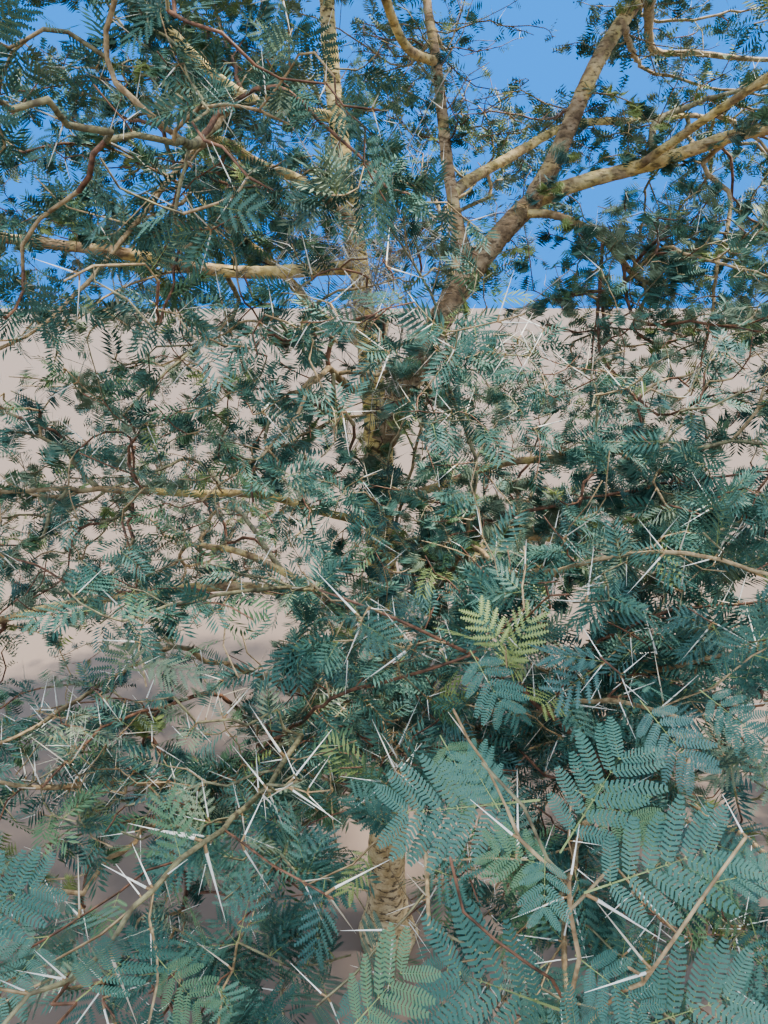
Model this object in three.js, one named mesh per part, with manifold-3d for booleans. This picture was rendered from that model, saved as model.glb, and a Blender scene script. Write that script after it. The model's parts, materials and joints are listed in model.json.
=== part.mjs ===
// A young thorn tree of the fever-tree kind, 3.8 m tall: one short trunk that forks low, tapering boughs,
// and an open crown of separate masses of foliage that comes down almost to the ground.
// Units are millimetres and +Z is up. The origin is at the ground, in the middle of the trunk's flat cut.
// Places are [x, y, z], and whoever faces the tree from its front looks along +Y.

import * as THREE from "three";
import { mergeVertices } from "three/addons/utils/BufferGeometryUtils.js";
import Module from "manifold-3d";

const wasm = await Module();
wasm.setup();

// Driving dimensions
const FORK_HEIGHT = 1250; // where the trunk ends and its two stems begin
const TRUNK_FOOT_RADIUS = 45; // just above the root flare
const TRUNK_TOP_RADIUS = 29;
const FLARE_RADIUS = 74; // of the flat cut at the ground
const FLARE_HEIGHT = 170;
const CLEARANCE = 0.8; // between a piece and the pieces that it meets
const MASS_CLEARANCE = 0.004; // between two masses, as a share of their size
const LIMB_SIDES = 7;
const LIMB_STEPS = 6;
const TRUNK_SIDES = 12;
const TRUNK_STEPS = 12;
const MASS_DETAIL = 2; // each edge of the icosahedron is cut in three, or in four on a broad mass
const BROAD_MASS = 660;
const MASS_LOBES = 12; // rounded swellings and hollows on each mass
const LOBE_HEIGHT = 0.42; // of the highest lobe, as a share of the mass's size
const LOBE_SHARPNESS = 9;
const SMALLEST_DETAIL = 0.3; // slivers finer than this, left by the cuts, are smoothed away
const SNAG = 0.012; // how far a limb wanders from its smooth line, as a share of its length

const BARK = { color: 0xb9a564, roughness: 0.82, metalness: 0 };
const FOLIAGE = { color: 0x3f6b5c, roughness: 0.9, metalness: 0 };

// Every limb but the trunk. It springs from its parent at a share of that limb's length and ends at tip.
// bow is how far its middle lies off the straight line, and radii are at its root and its tip.
const LIMBS = [
  { name: "leader", parent: "trunk", at: 0.985, tip: [0, 270, 3040], bow: [-100, 150, 0], radii: [24, 9] },
  { name: "right_bough", parent: "trunk", at: 0.985, tip: [328, 280, 1732], bow: [0, -10, 58], radii: [27, 22] },
  { name: "right_upper_arm", parent: "right_bough", at: 0.97, tip: [740, 480, 2480], bow: [0, 30, 10], radii: [21, 11] },
  { name: "right_arm", parent: "right_bough", at: 0.97, tip: [1110, 160, 1860], bow: [0, 90, 52], radii: [17, 11] },
  { name: "middle_stem", parent: "right_bough", at: 0.56, tip: [120, 690, 2500], bow: [-60, -90, 0], radii: [14, 8] },
  { name: "left_bough", parent: "leader", at: 0.19, tip: [-950, -60, 1690], bow: [0, -30, -50], radii: [14, 8] },
  { name: "upper_left_bough", parent: "leader", at: 0.37, tip: [-640, 60, 2340], bow: [0, 0, -140], radii: [11, 7] },
  { name: "back_right_bough", parent: "middle_stem", at: 0.17, tip: [850, 850, 2020], bow: [-60, 60, 50], radii: [13, 8] },
  { name: "back_bough", parent: "right_bough", at: 0.33, tip: [190, 830, 1740], bow: [30, -40, 60], radii: [13, 8] },
  { name: "back_left_bough", parent: "leader", at: 0.1, tip: [-500, 560, 1790], bow: [20, -20, -40], radii: [13, 8] },
  { name: "forward_right_bough", parent: "right_arm", at: 0.28, tip: [690, -640, 2010], bow: [70, 0, 20], radii: [9, 6] },
  { name: "upper_front_bough", parent: "middle_stem", at: 0.46, tip: [-150, -310, 2300], bow: [0, 0, -120], radii: [10, 6] },
  { name: "front_left_bough", parent: "leader", at: 0.24, tip: [-250, -440, 1700], bow: [-40, 0, 50], radii: [10, 6] },
  { name: "core_bough", parent: "leader", at: 0.06, tip: [-90, -230, 1390], bow: [-10, 0, -15], radii: [9, 6] },
  { name: "core_right_bough", parent: "trunk", at: 0.87, tip: [310, -270, 1260], bow: [0, 0, 20], radii: [9, 6] },
  { name: "core_left_bough", parent: "trunk", at: 0.84, tip: [-420, -270, 1200], bow: [0, 0, 20], radii: [9, 6] },
  { name: "inner_right_bough", parent: "right_bough", at: 0.86, tip: [500, 110, 1560], bow: [10, 0, 40], radii: [9, 6] },
  { name: "low_front_right_bough", parent: "trunk", at: 0.5, tip: [310, -520, 860], bow: [-10, 0, 70], radii: [13, 8] },
  { name: "low_front_left_bough", parent: "trunk", at: 0.4, tip: [-330, -420, 700], bow: [0, 20, 60], radii: [12, 8] },
  { name: "low_left_bough", parent: "trunk", at: 0.68, tip: [-870, -20, 840], bow: [0, 20, 70], radii: [13, 8] },
  { name: "low_back_left_bough", parent: "trunk", at: 0.58, tip: [-540, 560, 830], bow: [20, 0, 70], radii: [12, 8] },
  { name: "low_back_right_bough", parent: "trunk", at: 0.46, tip: [360, 790, 810], bow: [-20, 0, 70], radii: [12, 8] },
  { name: "low_right_bough", parent: "trunk", at: 0.8, tip: [900, 90, 900], bow: [0, 20, 60], radii: [13, 8] },
];

// Every mass of foliage: its middle and its half sizes.
const MASSES = [
  { name: "low_front_right", middle: [510, -840, 840], half: [650, 510, 480] },
  { name: "low_front_left", middle: [-600, -790, 690], half: [560, 520, 430] },
  { name: "low_left", middle: [-1280, 60, 900], half: [560, 600, 460] },
  { name: "low_back_left", middle: [-790, 970, 740], half: [640, 560, 440] },
  { name: "low_back_right", middle: [490, 1150, 850], half: [690, 540, 480] },
  { name: "low_right", middle: [1340, 230, 790], half: [570, 640, 450] },
  { name: "core", middle: [-70, -390, 1320], half: [420, 270, 270] },
  { name: "core_right", middle: [500, -390, 1290], half: [370, 310, 230] },
  { name: "core_left", middle: [-620, -380, 1240], half: [350, 330, 220] },
  { name: "inner_right", middle: [580, 60, 1500], half: [310, 310, 270] },
  { name: "front_left", middle: [-350, -730, 1670], half: [450, 330, 260] },
  { name: "left", middle: [-1370, -180, 1850], half: [590, 690, 450] },
  { name: "back_left", middle: [-900, 930, 1780], half: [650, 590, 470] },
  { name: "back", middle: [180, 1320, 1960], half: [620, 530, 460] },
  { name: "back_right", middle: [1170, 930, 1800], half: [620, 570, 450] },
  { name: "right", middle: [1420, -160, 1890], half: [560, 650, 430] },
  { name: "front_right", middle: [660, -1060, 2130], half: [610, 480, 350] },
  { name: "upper_front", middle: [-200, -610, 2580], half: [640, 520, 410] },
  { name: "upper_left", middle: [-910, 150, 2660], half: [600, 610, 430] },
  { name: "upper_back", middle: [-50, 990, 2800], half: [680, 530, 430] },
  { name: "upper_right", middle: [880, 280, 2700], half: [600, 640, 440] },
  { name: "top", middle: [0, 240, 3360], half: [600, 570, 440] },
];

const smooth = (t) => t * t * (3 - 2 * t);
const mix = (a, b, t) => a + (b - a) * t;

// A repeatable number from 0 to 1 for a name and a count.
function chance(name, count) {
  let h = 2166136261 + count * 97;
  for (const letter of name) h = Math.imul(h ^ letter.charCodeAt(0), 16777619);
  h ^= h >>> 15;
  h = Math.imul(h, 2246822507);
  return ((h ^ (h >>> 13)) >>> 0) / 4294967296;
}

// The line of a limb: straight from root to tip, bowed once, with a slow wander that is nothing at both ends.
class LimbLine extends THREE.Curve {
  constructor(name, root, tip, bow) {
    super();
    this.root = root;
    this.tip = tip;
    this.bow = bow;
    this.wander = SNAG * root.distanceTo(tip);
    this.phases = [0, 1, 2].map((i) => chance(name, i) * 2 * Math.PI);
  }

  getPoint(t, target = new THREE.Vector3()) {
    const bend = Math.sin(Math.PI * t);
    const [px, py, pz] = this.phases;
    const off = new THREE.Vector3(Math.sin(7 * t + px), Math.sin(8 * t + py), Math.sin(9 * t + pz));
    return target
      .lerpVectors(this.root, this.tip, t)
      .addScaledVector(this.bow, bend)
      .addScaledVector(off, this.wander * bend);
  }
}

// A closed cylinder bent along a line, with radius(t) at each share t of its length, grown by extra all round.
// level keeps its rings flat, as on a stem cut level at the ground.
function bentCylinder(line, radius, sides, steps, level, extra) {
  const shape = new THREE.CylinderGeometry(1, 1, 1, sides, steps);
  const { tangents, normals, binormals } = line.computeFrenetFrames(steps, false);
  const place = shape.attributes.position;
  const side = new THREE.Vector3();
  const point = new THREE.Vector3();
  for (let i = 0; i < place.count; i++) {
    const t = place.getY(i) + 0.5;
    const ring = Math.round(t * steps);
    const across = level ? side.set(1, 0, 0) : side.copy(normals[ring]);
    const over = level ? new THREE.Vector3(0, 1, 0) : binormals[ring];
    const reach = radius(t) + extra;
    line.getPoint(t, point);
    point.addScaledVector(across, place.getX(i) * reach);
    point.addScaledVector(over, -place.getZ(i) * reach);
    if (ring === steps) point.addScaledVector(tangents[steps], extra);
    place.setXYZ(i, point.x, point.y, point.z);
  }
  return shape;
}

// A manifold-3d solid of a closed geometry, turned right side out.
function solidOf(geometry) {
  const bare = geometry.clone();
  bare.deleteAttribute("normal");
  bare.deleteAttribute("uv");
  const merged = mergeVertices(bare, 1e-3);
  const triVerts = new Uint32Array(merged.index.array);
  const build = () =>
    new wasm.Manifold(new wasm.Mesh({ numProp: 3, vertProperties: merged.attributes.position.array, triVerts }));
  const solid = build();
  if (solid.volume() > 0) return solid;
  for (let i = 0; i < triVerts.length; i += 3) [triVerts[i + 1], triVerts[i + 2]] = [triVerts[i + 2], triVerts[i + 1]];
  return build();
}

function geometryOf(solid) {
  const { numProp, vertProperties, triVerts } = solid.getMesh();
  const places = new Float32Array((vertProperties.length / numProp) * 3);
  for (let i = 0; i < places.length / 3; i++) {
    places.set(vertProperties.subarray(i * numProp, i * numProp + 3), i * 3);
  }
  const geometry = new THREE.BufferGeometry();
  geometry.setAttribute("position", new THREE.BufferAttribute(places, 3));
  geometry.setIndex(new THREE.BufferAttribute(triVerts, 1));
  geometry.computeVertexNormals();
  return geometry;
}

// What is left of a solid once others are cut from it: its largest piece.
function cutBy(solid, cutters) {
  let left = solid;
  for (const cutter of cutters) left = left.subtract(cutter);
  return left.decompose().sort((a, b) => b.volume() - a.volume())[0];
}

function trunkRadius(t) {
  const height = t * FORK_HEIGHT;
  const flare = Math.max(0, 1 - height / FLARE_HEIGHT) ** 2.2;
  return mix(TRUNK_FOOT_RADIUS, TRUNK_TOP_RADIUS, smooth(t)) + (FLARE_RADIUS - TRUNK_FOOT_RADIUS) * flare;
}

function limbRadius([root, tip], length) {
  const collar = 0.45; // the swelling where a limb leaves its parent
  return (t) => mix(root, tip, t) * (1 + collar * Math.exp((-t * length) / (root * 1.6)));
}

// The trunk and the limbs, each in its true shape and grown by the clearance, which is what cuts its neighbours.
const lines = new Map();
const limbs = new Map();

function addLimb(name, line, radius, sides, steps, level) {
  const shape = (extra) => solidOf(bentCylinder(line, radius, sides, steps, level, extra));
  const earlier = [...limbs.values()].map((limb) => limb.grown);
  const grown = shape(CLEARANCE);
  lines.set(name, line);
  limbs.set(name, { solid: cutBy(shape(0), earlier), grown });
}

const trunkLine = new LimbLine(
  "trunk",
  new THREE.Vector3(0, 0, 0),
  new THREE.Vector3(-20, 0, FORK_HEIGHT),
  new THREE.Vector3(8, 6, 0),
);
addLimb("trunk", trunkLine, trunkRadius, TRUNK_SIDES, TRUNK_STEPS, true);

for (const { name, parent, at, tip, bow, radii } of LIMBS) {
  const root = lines.get(parent).getPoint(at);
  const line = new LimbLine(name, root, new THREE.Vector3(...tip), new THREE.Vector3(...bow));
  addLimb(name, line, limbRadius(radii, line.getLength()), LIMB_SIDES, LIMB_STEPS, false);
}

// How far a mass swells in a direction: rounded lobes and hollows, placed differently on each mass.
function swelling(name, direction) {
  let size = 0.84;
  for (let lobe = 0; lobe < MASS_LOBES; lobe++) {
    const z = 2 * chance(name, 10 + lobe) - 1;
    const turn = 2 * Math.PI * chance(name, 30 + lobe);
    const across = Math.sqrt(1 - z * z);
    const near = direction.x * across * Math.cos(turn) + direction.y * across * Math.sin(turn) + direction.z * z;
    const height = lobe % 3 === 2 ? -0.6 * LOBE_HEIGHT : mix(0.5, 1, chance(name, 50 + lobe)) * LOBE_HEIGHT;
    size += height * Math.exp(LOBE_SHARPNESS * (near - 1));
  }
  return size;
}

function massGeometry({ name, middle, half }, grow) {
  const detail = half[0] > BROAD_MASS ? MASS_DETAIL + 1 : MASS_DETAIL;
  const shape = new THREE.IcosahedronGeometry(1, detail);
  const place = shape.attributes.position;
  const direction = new THREE.Vector3();
  for (let i = 0; i < place.count; i++) {
    direction.fromBufferAttribute(place, i).normalize();
    const size = swelling(name, direction) * grow;
    const [x, y, z] = direction.toArray().map((share, axis) => middle[axis] + share * half[axis] * size);
    place.setXYZ(i, x, y, z);
  }
  return shape;
}

const masses = new Map();
for (const mass of MASSES) {
  const cutters = [...limbs.values(), ...masses.values()].map((piece) => piece.grown);
  masses.set(mass.name, {
    solid: cutBy(solidOf(massGeometry(mass, 1)), cutters).simplify(SMALLEST_DETAIL),
    grown: solidOf(massGeometry(mass, 1 + MASS_CLEARANCE)),
  });
}

const tree = new THREE.Group();
for (const [pieces, look, prefix] of [
  [limbs, BARK, ""],
  [masses, FOLIAGE, "foliage_"],
]) {
  for (const [name, { solid }] of pieces) {
    const mesh = new THREE.Mesh(geometryOf(solid), new THREE.MeshStandardMaterial(look));
    mesh.name = prefix + name;
    tree.add(mesh);
  }
}

export default tree;
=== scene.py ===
import json
import math

import bpy
import numpy as np
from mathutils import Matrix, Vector, noise
from mathutils.bvhtree import BVHTree

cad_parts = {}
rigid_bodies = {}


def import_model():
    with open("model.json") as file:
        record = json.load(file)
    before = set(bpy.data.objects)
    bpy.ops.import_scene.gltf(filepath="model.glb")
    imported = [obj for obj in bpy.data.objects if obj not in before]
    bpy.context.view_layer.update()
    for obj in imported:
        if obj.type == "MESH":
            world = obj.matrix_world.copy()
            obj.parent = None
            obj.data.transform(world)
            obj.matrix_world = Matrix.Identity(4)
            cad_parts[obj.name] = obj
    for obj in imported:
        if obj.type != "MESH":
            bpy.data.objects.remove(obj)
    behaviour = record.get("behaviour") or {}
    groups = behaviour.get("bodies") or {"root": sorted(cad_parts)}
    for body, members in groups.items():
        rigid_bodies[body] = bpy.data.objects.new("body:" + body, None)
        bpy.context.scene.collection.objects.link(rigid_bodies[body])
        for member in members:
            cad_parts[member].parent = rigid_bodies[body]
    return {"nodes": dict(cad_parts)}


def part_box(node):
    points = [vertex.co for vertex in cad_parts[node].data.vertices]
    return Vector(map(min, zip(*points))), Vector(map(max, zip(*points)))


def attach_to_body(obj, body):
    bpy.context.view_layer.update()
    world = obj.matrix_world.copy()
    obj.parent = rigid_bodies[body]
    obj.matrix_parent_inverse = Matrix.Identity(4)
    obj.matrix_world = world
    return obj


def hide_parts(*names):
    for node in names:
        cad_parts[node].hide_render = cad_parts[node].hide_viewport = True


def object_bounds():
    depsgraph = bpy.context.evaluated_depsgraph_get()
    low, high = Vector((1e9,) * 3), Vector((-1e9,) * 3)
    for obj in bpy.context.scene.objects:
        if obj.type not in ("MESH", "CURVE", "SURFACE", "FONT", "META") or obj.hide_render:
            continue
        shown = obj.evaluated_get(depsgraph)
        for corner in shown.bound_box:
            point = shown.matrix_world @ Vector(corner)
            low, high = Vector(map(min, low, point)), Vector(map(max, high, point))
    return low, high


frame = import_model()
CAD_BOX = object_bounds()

# A young thorn tree: bark relief on the trunk and boughs, twigs that branch on from them by a seeded rule,
# paired thorns, and feathery leaves in sprays. Metres, +Z up, the same frame as the solids.

rng = np.random.default_rng(4107)

# The photo's camera: where it stood, how far it tipped down, and its focal length in pixels
CAMERA_PLACE = np.array([-0.01, -1.48, 1.50])
PITCH = math.radians(15.6)
FOCAL = 740.0
HALF_WIDE, HALF_HIGH = 384.0, 512.0
AHEAD = np.array([0.0, math.cos(PITCH), -math.sin(PITCH)])
OVER = np.array([0.0, math.sin(PITCH), math.cos(PITCH)])
RIGHT = np.array([1.0, 0.0, 0.0])
UP = np.array([0.0, 0.0, 1.0])


def from_view(u, v, depth):
    """The place that the camera sees at pixel (u, v), depth metres ahead of it."""
    return CAMERA_PLACE + depth * (AHEAD + (u - HALF_WIDE) / FOCAL * RIGHT + (HALF_HIGH - v) / FOCAL * OVER)


def seen_at(places):
    """Pixel columns and rows of places, and how far ahead of the camera they are."""
    d = np.asarray(places, float) - CAMERA_PLACE
    depth = d @ AHEAD
    safe = np.where(depth > 0.02, depth, 0.02)
    return HALF_WIDE + FOCAL * (d @ RIGHT) / safe, HALF_HIGH - FOCAL * (d @ OVER) / safe, depth


def within(u, v, view):
    """Whether a pixel lies between a view's first and last column and row."""
    return view[0] < u < view[1] and view[2] < v < view[3]


# The limbs, as they were made in the solids: parent, where on it, tip, bow, radii (mm)
FORK_HEIGHT = 1250
LIMBS = {
    "leader": ("trunk", 0.985, (0, 270, 3040), (-100, 150, 0), (24, 9)),
    "right_bough": ("trunk", 0.985, (328, 280, 1732), (0, -10, 58), (27, 22)),
    "right_upper_arm": ("right_bough", 0.97, (740, 480, 2480), (0, 30, 10), (21, 11)),
    "right_arm": ("right_bough", 0.97, (1110, 160, 1860), (0, 90, 52), (17, 11)),
    "middle_stem": ("right_bough", 0.56, (120, 690, 2500), (-60, -90, 0), (14, 8)),
    "left_bough": ("leader", 0.19, (-950, -60, 1690), (0, -30, -50), (14, 8)),
    "upper_left_bough": ("leader", 0.37, (-640, 60, 2340), (0, 0, -140), (11, 7)),
    "back_right_bough": ("middle_stem", 0.17, (850, 850, 2020), (-60, 60, 50), (13, 8)),
    "back_bough": ("right_bough", 0.33, (190, 830, 1740), (30, -40, 60), (13, 8)),
    "back_left_bough": ("leader", 0.1, (-500, 560, 1790), (20, -20, -40), (13, 8)),
    "forward_right_bough": ("right_arm", 0.28, (690, -640, 2010), (70, 0, 20), (9, 6)),
    "upper_front_bough": ("middle_stem", 0.46, (-150, -310, 2300), (0, 0, -120), (10, 6)),
    "front_left_bough": ("leader", 0.24, (-250, -440, 1700), (-40, 0, 50), (10, 6)),
    "core_bough": ("leader", 0.06, (-90, -230, 1390), (-10, 0, -15), (9, 6)),
    "core_right_bough": ("trunk", 0.87, (310, -270, 1260), (0, 0, 20), (9, 6)),
    "core_left_bough": ("trunk", 0.84, (-420, -270, 1200), (0, 0, 20), (9, 6)),
    "inner_right_bough": ("right_bough", 0.86, (500, 110, 1560), (10, 0, 40), (9, 6)),
    "low_front_right_bough": ("trunk", 0.5, (310, -520, 860), (-10, 0, 70), (13, 8)),
    "low_front_left_bough": ("trunk", 0.4, (-330, -420, 700), (0, 20, 60), (12, 8)),
    "low_left_bough": ("trunk", 0.68, (-870, -20, 840), (0, 20, 70), (13, 8)),
    "low_back_left_bough": ("trunk", 0.58, (-540, 560, 830), (20, 0, 70), (12, 8)),
    "low_back_right_bough": ("trunk", 0.46, (360, 790, 810), (-20, 0, 70), (12, 8)),
    "low_right_bough": ("trunk", 0.8, (900, 90, 900), (0, 20, 60), (13, 8)),
}
TRUNK_FOOT, TRUNK_TOP = 45, 29
TRUNK_LEAN, TRUNK_BOW = -20, (8, 6, 0)
FLARE, FLARE_HIGH, FLARE_POWER = 74, 170, 2.2
SWELL, SWELL_RADII = 0.45, 1.6  # how much wider a limb starts, and over how many of its radii that fades
SNAG, SNAG_SPEEDS = 0.012, (7, 8, 9)  # how far a limb's line strays, as a share of its length, and how often
LINE_STEPS = 96


def chance(name, count):
    """A repeatable number from 0 to 1 for a name and a count."""
    h = (2166136261 + count * 97) & 0xFFFFFFFF
    for letter in name:
        h = ((h ^ ord(letter)) * 16777619) & 0xFFFFFFFF
    h ^= h >> 15
    h = (h * 2246822507) & 0xFFFFFFFF
    return (h ^ (h >> 13)) / 4294967296


def limb_line(name, root, tip, bow):
    """Places along a limb, in metres, as the solid's line runs."""
    t = np.linspace(0, 1, LINE_STEPS + 1)[:, None]
    root, tip, bow = (np.asarray(p, float) for p in (root, tip, bow))
    bend = np.sin(np.pi * t)
    phases = [chance(name, i) * 2 * math.pi for i in range(3)]
    off = np.hstack([np.sin(speed * t + p) for speed, p in zip(SNAG_SPEEDS, phases)])
    return root + (tip - root) * t + bow * bend + off * (SNAG * np.linalg.norm(tip - root) * bend)


def make_limbs():
    """Every limb's places and its radii at them, in metres."""
    points = {"trunk": limb_line("trunk", (0, 0, 0), (TRUNK_LEAN, 0, FORK_HEIGHT), TRUNK_BOW)}
    t = np.linspace(0, 1, LINE_STEPS + 1)
    ease = t * t * (3 - 2 * t)
    flare = np.maximum(0, 1 - t * FORK_HEIGHT / FLARE_HIGH) ** FLARE_POWER
    radii = {"trunk": TRUNK_FOOT + (TRUNK_TOP - TRUNK_FOOT) * ease + (FLARE - TRUNK_FOOT) * flare}
    for limb, (parent, at, tip, bow, (thick, thin)) in LIMBS.items():
        row = at * LINE_STEPS
        base = points[parent]
        low = int(row)
        root = base[low] + (base[min(low + 1, LINE_STEPS)] - base[low]) * (row - low)
        points[limb] = limb_line(limb, root, tip, bow)
        length = np.linalg.norm(np.diff(points[limb], axis=0), axis=1).sum()
        swell = 1 + SWELL * np.exp(-t * length / (thick * SWELL_RADII))
        radii[limb] = (thick + (thin - thick) * t) * swell
    return {name: p / 1000 for name, p in points.items()}, {name: r / 1000 for name, r in radii.items()}


limb_points, limb_radii = make_limbs()


# Meshes joined from many small shapes
class Batch:
    """Triangles gathered from many small shapes, each with a material number, to make one piece."""

    def __init__(self):
        self.verts, self.tris, self.looks, self.count = [], [], [], 0

    def add(self, verts, tris, look):
        self.verts.append(np.asarray(verts, np.float32))
        self.tris.append(np.asarray(tris, np.int32) + self.count)
        self.looks.append(np.broadcast_to(np.asarray(look, np.int32), (len(tris),)))
        self.count += len(verts)

    def size(self):
        return sum(len(t) for t in self.tris)

    def make(self, name, materials, smooth=True):
        verts = np.concatenate(self.verts)
        tris = np.concatenate(self.tris)
        looks = np.concatenate(self.looks)
        mesh = bpy.data.meshes.new(name)
        mesh.vertices.add(len(verts))
        mesh.vertices.foreach_set("co", verts.ravel())
        mesh.loops.add(len(tris) * 3)
        mesh.loops.foreach_set("vertex_index", tris.ravel())
        mesh.polygons.add(len(tris))
        mesh.polygons.foreach_set("loop_start", np.arange(0, len(tris) * 3, 3, dtype=np.int32))
        for m in materials:
            mesh.materials.append(m)
        mesh.polygons.foreach_set("material_index", looks)
        mesh.polygons.foreach_set("use_smooth", np.full(len(tris), smooth))
        mesh.update(calc_edges=True)
        piece = bpy.data.objects.new(name, mesh)
        bpy.context.scene.collection.objects.link(piece)
        return piece


def unit(v):
    return v / max(np.linalg.norm(v), 1e-9)


def lengths_along(points):
    """How far along the line each point lies."""
    return np.concatenate([[0], np.cumsum(np.linalg.norm(np.diff(points, axis=0), axis=1))])


def frames_along(points):
    """Two directions across the line at each point, without twist."""
    ahead = np.gradient(points, axis=0)
    ahead /= np.linalg.norm(ahead, axis=1)[:, None] + 1e-12
    side = np.cross(ahead[0], UP if abs(ahead[0][2]) < 0.9 else RIGHT)
    sides = np.empty_like(points)
    for i, a in enumerate(ahead):
        side = side - a * (side @ a)
        side = side / (np.linalg.norm(side) + 1e-12)
        sides[i] = side
    return sides, np.cross(ahead, sides)


def ring_tris(rings, sides):
    """Triangles of a tube of rings that ends in one point."""
    i, j = np.meshgrid(np.arange(rings - 1), np.arange(sides), indexing="ij")
    a, b = (i * sides + j).ravel(), (i * sides + (j + 1) % sides).ravel()
    c, d = a + sides, b + sides
    last = (rings - 1) * sides + np.arange(sides)
    tip = np.stack([last, np.roll(last, -1), np.full(sides, rings * sides)], 1)
    return np.concatenate([np.stack([a, b, d], 1), np.stack([a, d, c], 1), tip])


def rims(across, over, sides):
    """Directions from the line to each vertex of each ring."""
    turn = np.arange(sides) * 2 * np.pi / sides
    return np.cos(turn)[None, :, None] * across[:, None] + np.sin(turn)[None, :, None] * over[:, None]


TWIG_POINT, LIMB_POINT = 1.5, 0.6  # how many of its last radii a tube's tip reaches on


def tube(points, radii, sides):
    """Vertices and triangles of a round tube with a pointed tip."""
    verts = points[:, None] + rims(*frames_along(points), sides) * radii[:, None, None]
    tip = points[-1] + unit(points[-1] - points[-2]) * radii[-1] * TWIG_POINT
    return np.vstack([verts.reshape(-1, 3), tip]), ring_tris(len(points), sides)


# Materials
USUAL_SPECULAR = 0.35


def new_material(name, roughness, specular=USUAL_SPECULAR):
    m = bpy.data.materials.new(name)
    m.use_nodes = True
    shader = m.node_tree.nodes["Principled BSDF"]
    shader.inputs["Roughness"].default_value = roughness
    shader.inputs["Specular IOR Level"].default_value = specular
    return m, m.node_tree, shader


def plain_material(name, color, roughness, specular=USUAL_SPECULAR):
    m, _, shader = new_material(name, roughness, specular)
    shader.inputs["Base Color"].default_value = (*color, 1)
    return m


COLOR, NUMBER = "NodeSocketColor", "NodeSocketFloat"
CLOUD_ROUGHNESS = 0.62


class Effect:
    """A shader group in the making, with short ways to add the nodes that the effects below share."""

    def __init__(self, name, inputs, outputs):
        self.tree = bpy.data.node_groups.new(name, "ShaderNodeTree")
        for label, kind in inputs:
            self.tree.interface.new_socket(label, in_out="INPUT", socket_type=kind)
        for label, kind in outputs:
            self.tree.interface.new_socket(label, in_out="OUTPUT", socket_type=kind)
        self.given = self.node("NodeGroupInput").outputs
        self.result = self.node("NodeGroupOutput").inputs
        self.place = self.node("ShaderNodeTexCoord").outputs["Object"]

    def node(self, kind):
        return self.tree.nodes.new(kind)

    def put(self, source, socket):
        if isinstance(source, (int, float)):
            socket.default_value = source
        elif isinstance(source, tuple):
            socket.default_value = (*source, 1)
        else:
            self.tree.links.new(source, socket)

    def cloud(self, scale, detail, source):
        n = self.node("ShaderNodeTexNoise")
        n.inputs["Detail"].default_value = detail
        n.inputs["Roughness"].default_value = CLOUD_ROUGHNESS
        self.put(scale, n.inputs["Scale"])
        self.put(source, n.inputs["Vector"])
        return n.outputs["Fac"]

    def ramp(self, source, stops):
        r = self.node("ShaderNodeValToRGB")
        elements = r.color_ramp.elements
        while len(elements) < len(stops):
            elements.new(0.5)
        for element, (place, color) in zip(elements, stops):
            element.position = place
            element.color = (*color, 1)
        self.put(source, r.inputs["Fac"])
        return r.outputs["Color"]

    def rise(self, source, low, high):
        """0 below low, 1 above high."""
        r = self.node("ShaderNodeMapRange")
        self.put(source, r.inputs["Value"])
        self.put(low, r.inputs["From Min"])
        self.put(high, r.inputs["From Max"])
        return r.outputs["Result"]

    def blend(self, a, b, share):
        """a where share is 0, b where it is 1."""
        x = self.node("ShaderNodeMix")
        x.data_type = "RGBA"
        for socket, source in ((x.inputs["Factor"], share), (x.inputs[6], a), (x.inputs[7], b)):
            self.put(source, socket)
        return x.outputs[2]

    def sum(self, a, b, factor):
        """a plus factor times b."""
        m = self.node("ShaderNodeMath")
        m.operation = "MULTIPLY_ADD"
        for socket, source in zip(m.inputs, (b, factor, a)):
            self.put(source, socket)
        return m.outputs["Value"]


def place_effect(tree, effect, **values):
    """The outputs of an effect placed in a material's tree with its own values."""
    group = tree.nodes.new("ShaderNodeGroup")
    group.node_tree = effect.tree
    for label, value in values.items():
        group.inputs[label].default_value = value
    return group.outputs


DRIFT_SCALE = 90.0


def make_colour_drift():
    """A colour that drifts to a darker one in patches."""
    drift = Effect("colour_drift", [("Color", COLOR), ("Dark", COLOR)], [("Color", COLOR)])
    light = drift.rise(drift.cloud(DRIFT_SCALE, 2.0, drift.place), 0.35, 0.6)
    drift.put(drift.blend(drift.given["Dark"], drift.given["Color"], light), drift.result["Color"])
    return drift


colour_drift = make_colour_drift()


def drifting_material(name, color, dark, roughness):
    m, tree, shader = new_material(name, roughness)
    outputs = place_effect(tree, colour_drift, Color=(*color, 1), Dark=(*dark, 1))
    tree.links.new(outputs["Color"], shader.inputs["Base Color"])
    return m


LEAF_TINTS = [
    ("leaf_teal_dark", (0.043, 0.106, 0.088)),
    ("leaf_teal", (0.072, 0.16, 0.13)),
    ("leaf_teal_light", (0.108, 0.216, 0.174)),
    ("leaf_blue_green", (0.075, 0.158, 0.147)),
    ("leaf_green", (0.105, 0.19, 0.105)),
    ("leaf_grey_green", (0.205, 0.265, 0.185)),
    ("leaf_young", (0.25, 0.31, 0.12)),
]
# What share of the sprays takes each tint, and the same between two depths ahead of the camera, where the
# paler tints are painted sunlight
USUAL_SHARES = [0.22, 0.29, 0.17, 0.14, 0.1, 0.06, 0.02]
PAINTED_SUN_SHARES = [0.04, 0.1, 0.24, 0.04, 0.13, 0.34, 0.11]
PAINTED_SUN_NEAR, PAINTED_SUN_FAR = 1.2, 2.4
VIEW_LEAF_TINTS = [0, 1, 1, 3, 4]


def tint_at(depth):
    """A tint for a spray, paler between two depths, where the paler tints paint sunlight."""
    shares = PAINTED_SUN_SHARES if PAINTED_SUN_NEAR < depth < PAINTED_SUN_FAR else USUAL_SHARES
    return int(rng.choice(len(LEAF_TINTS), p=shares))


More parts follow.
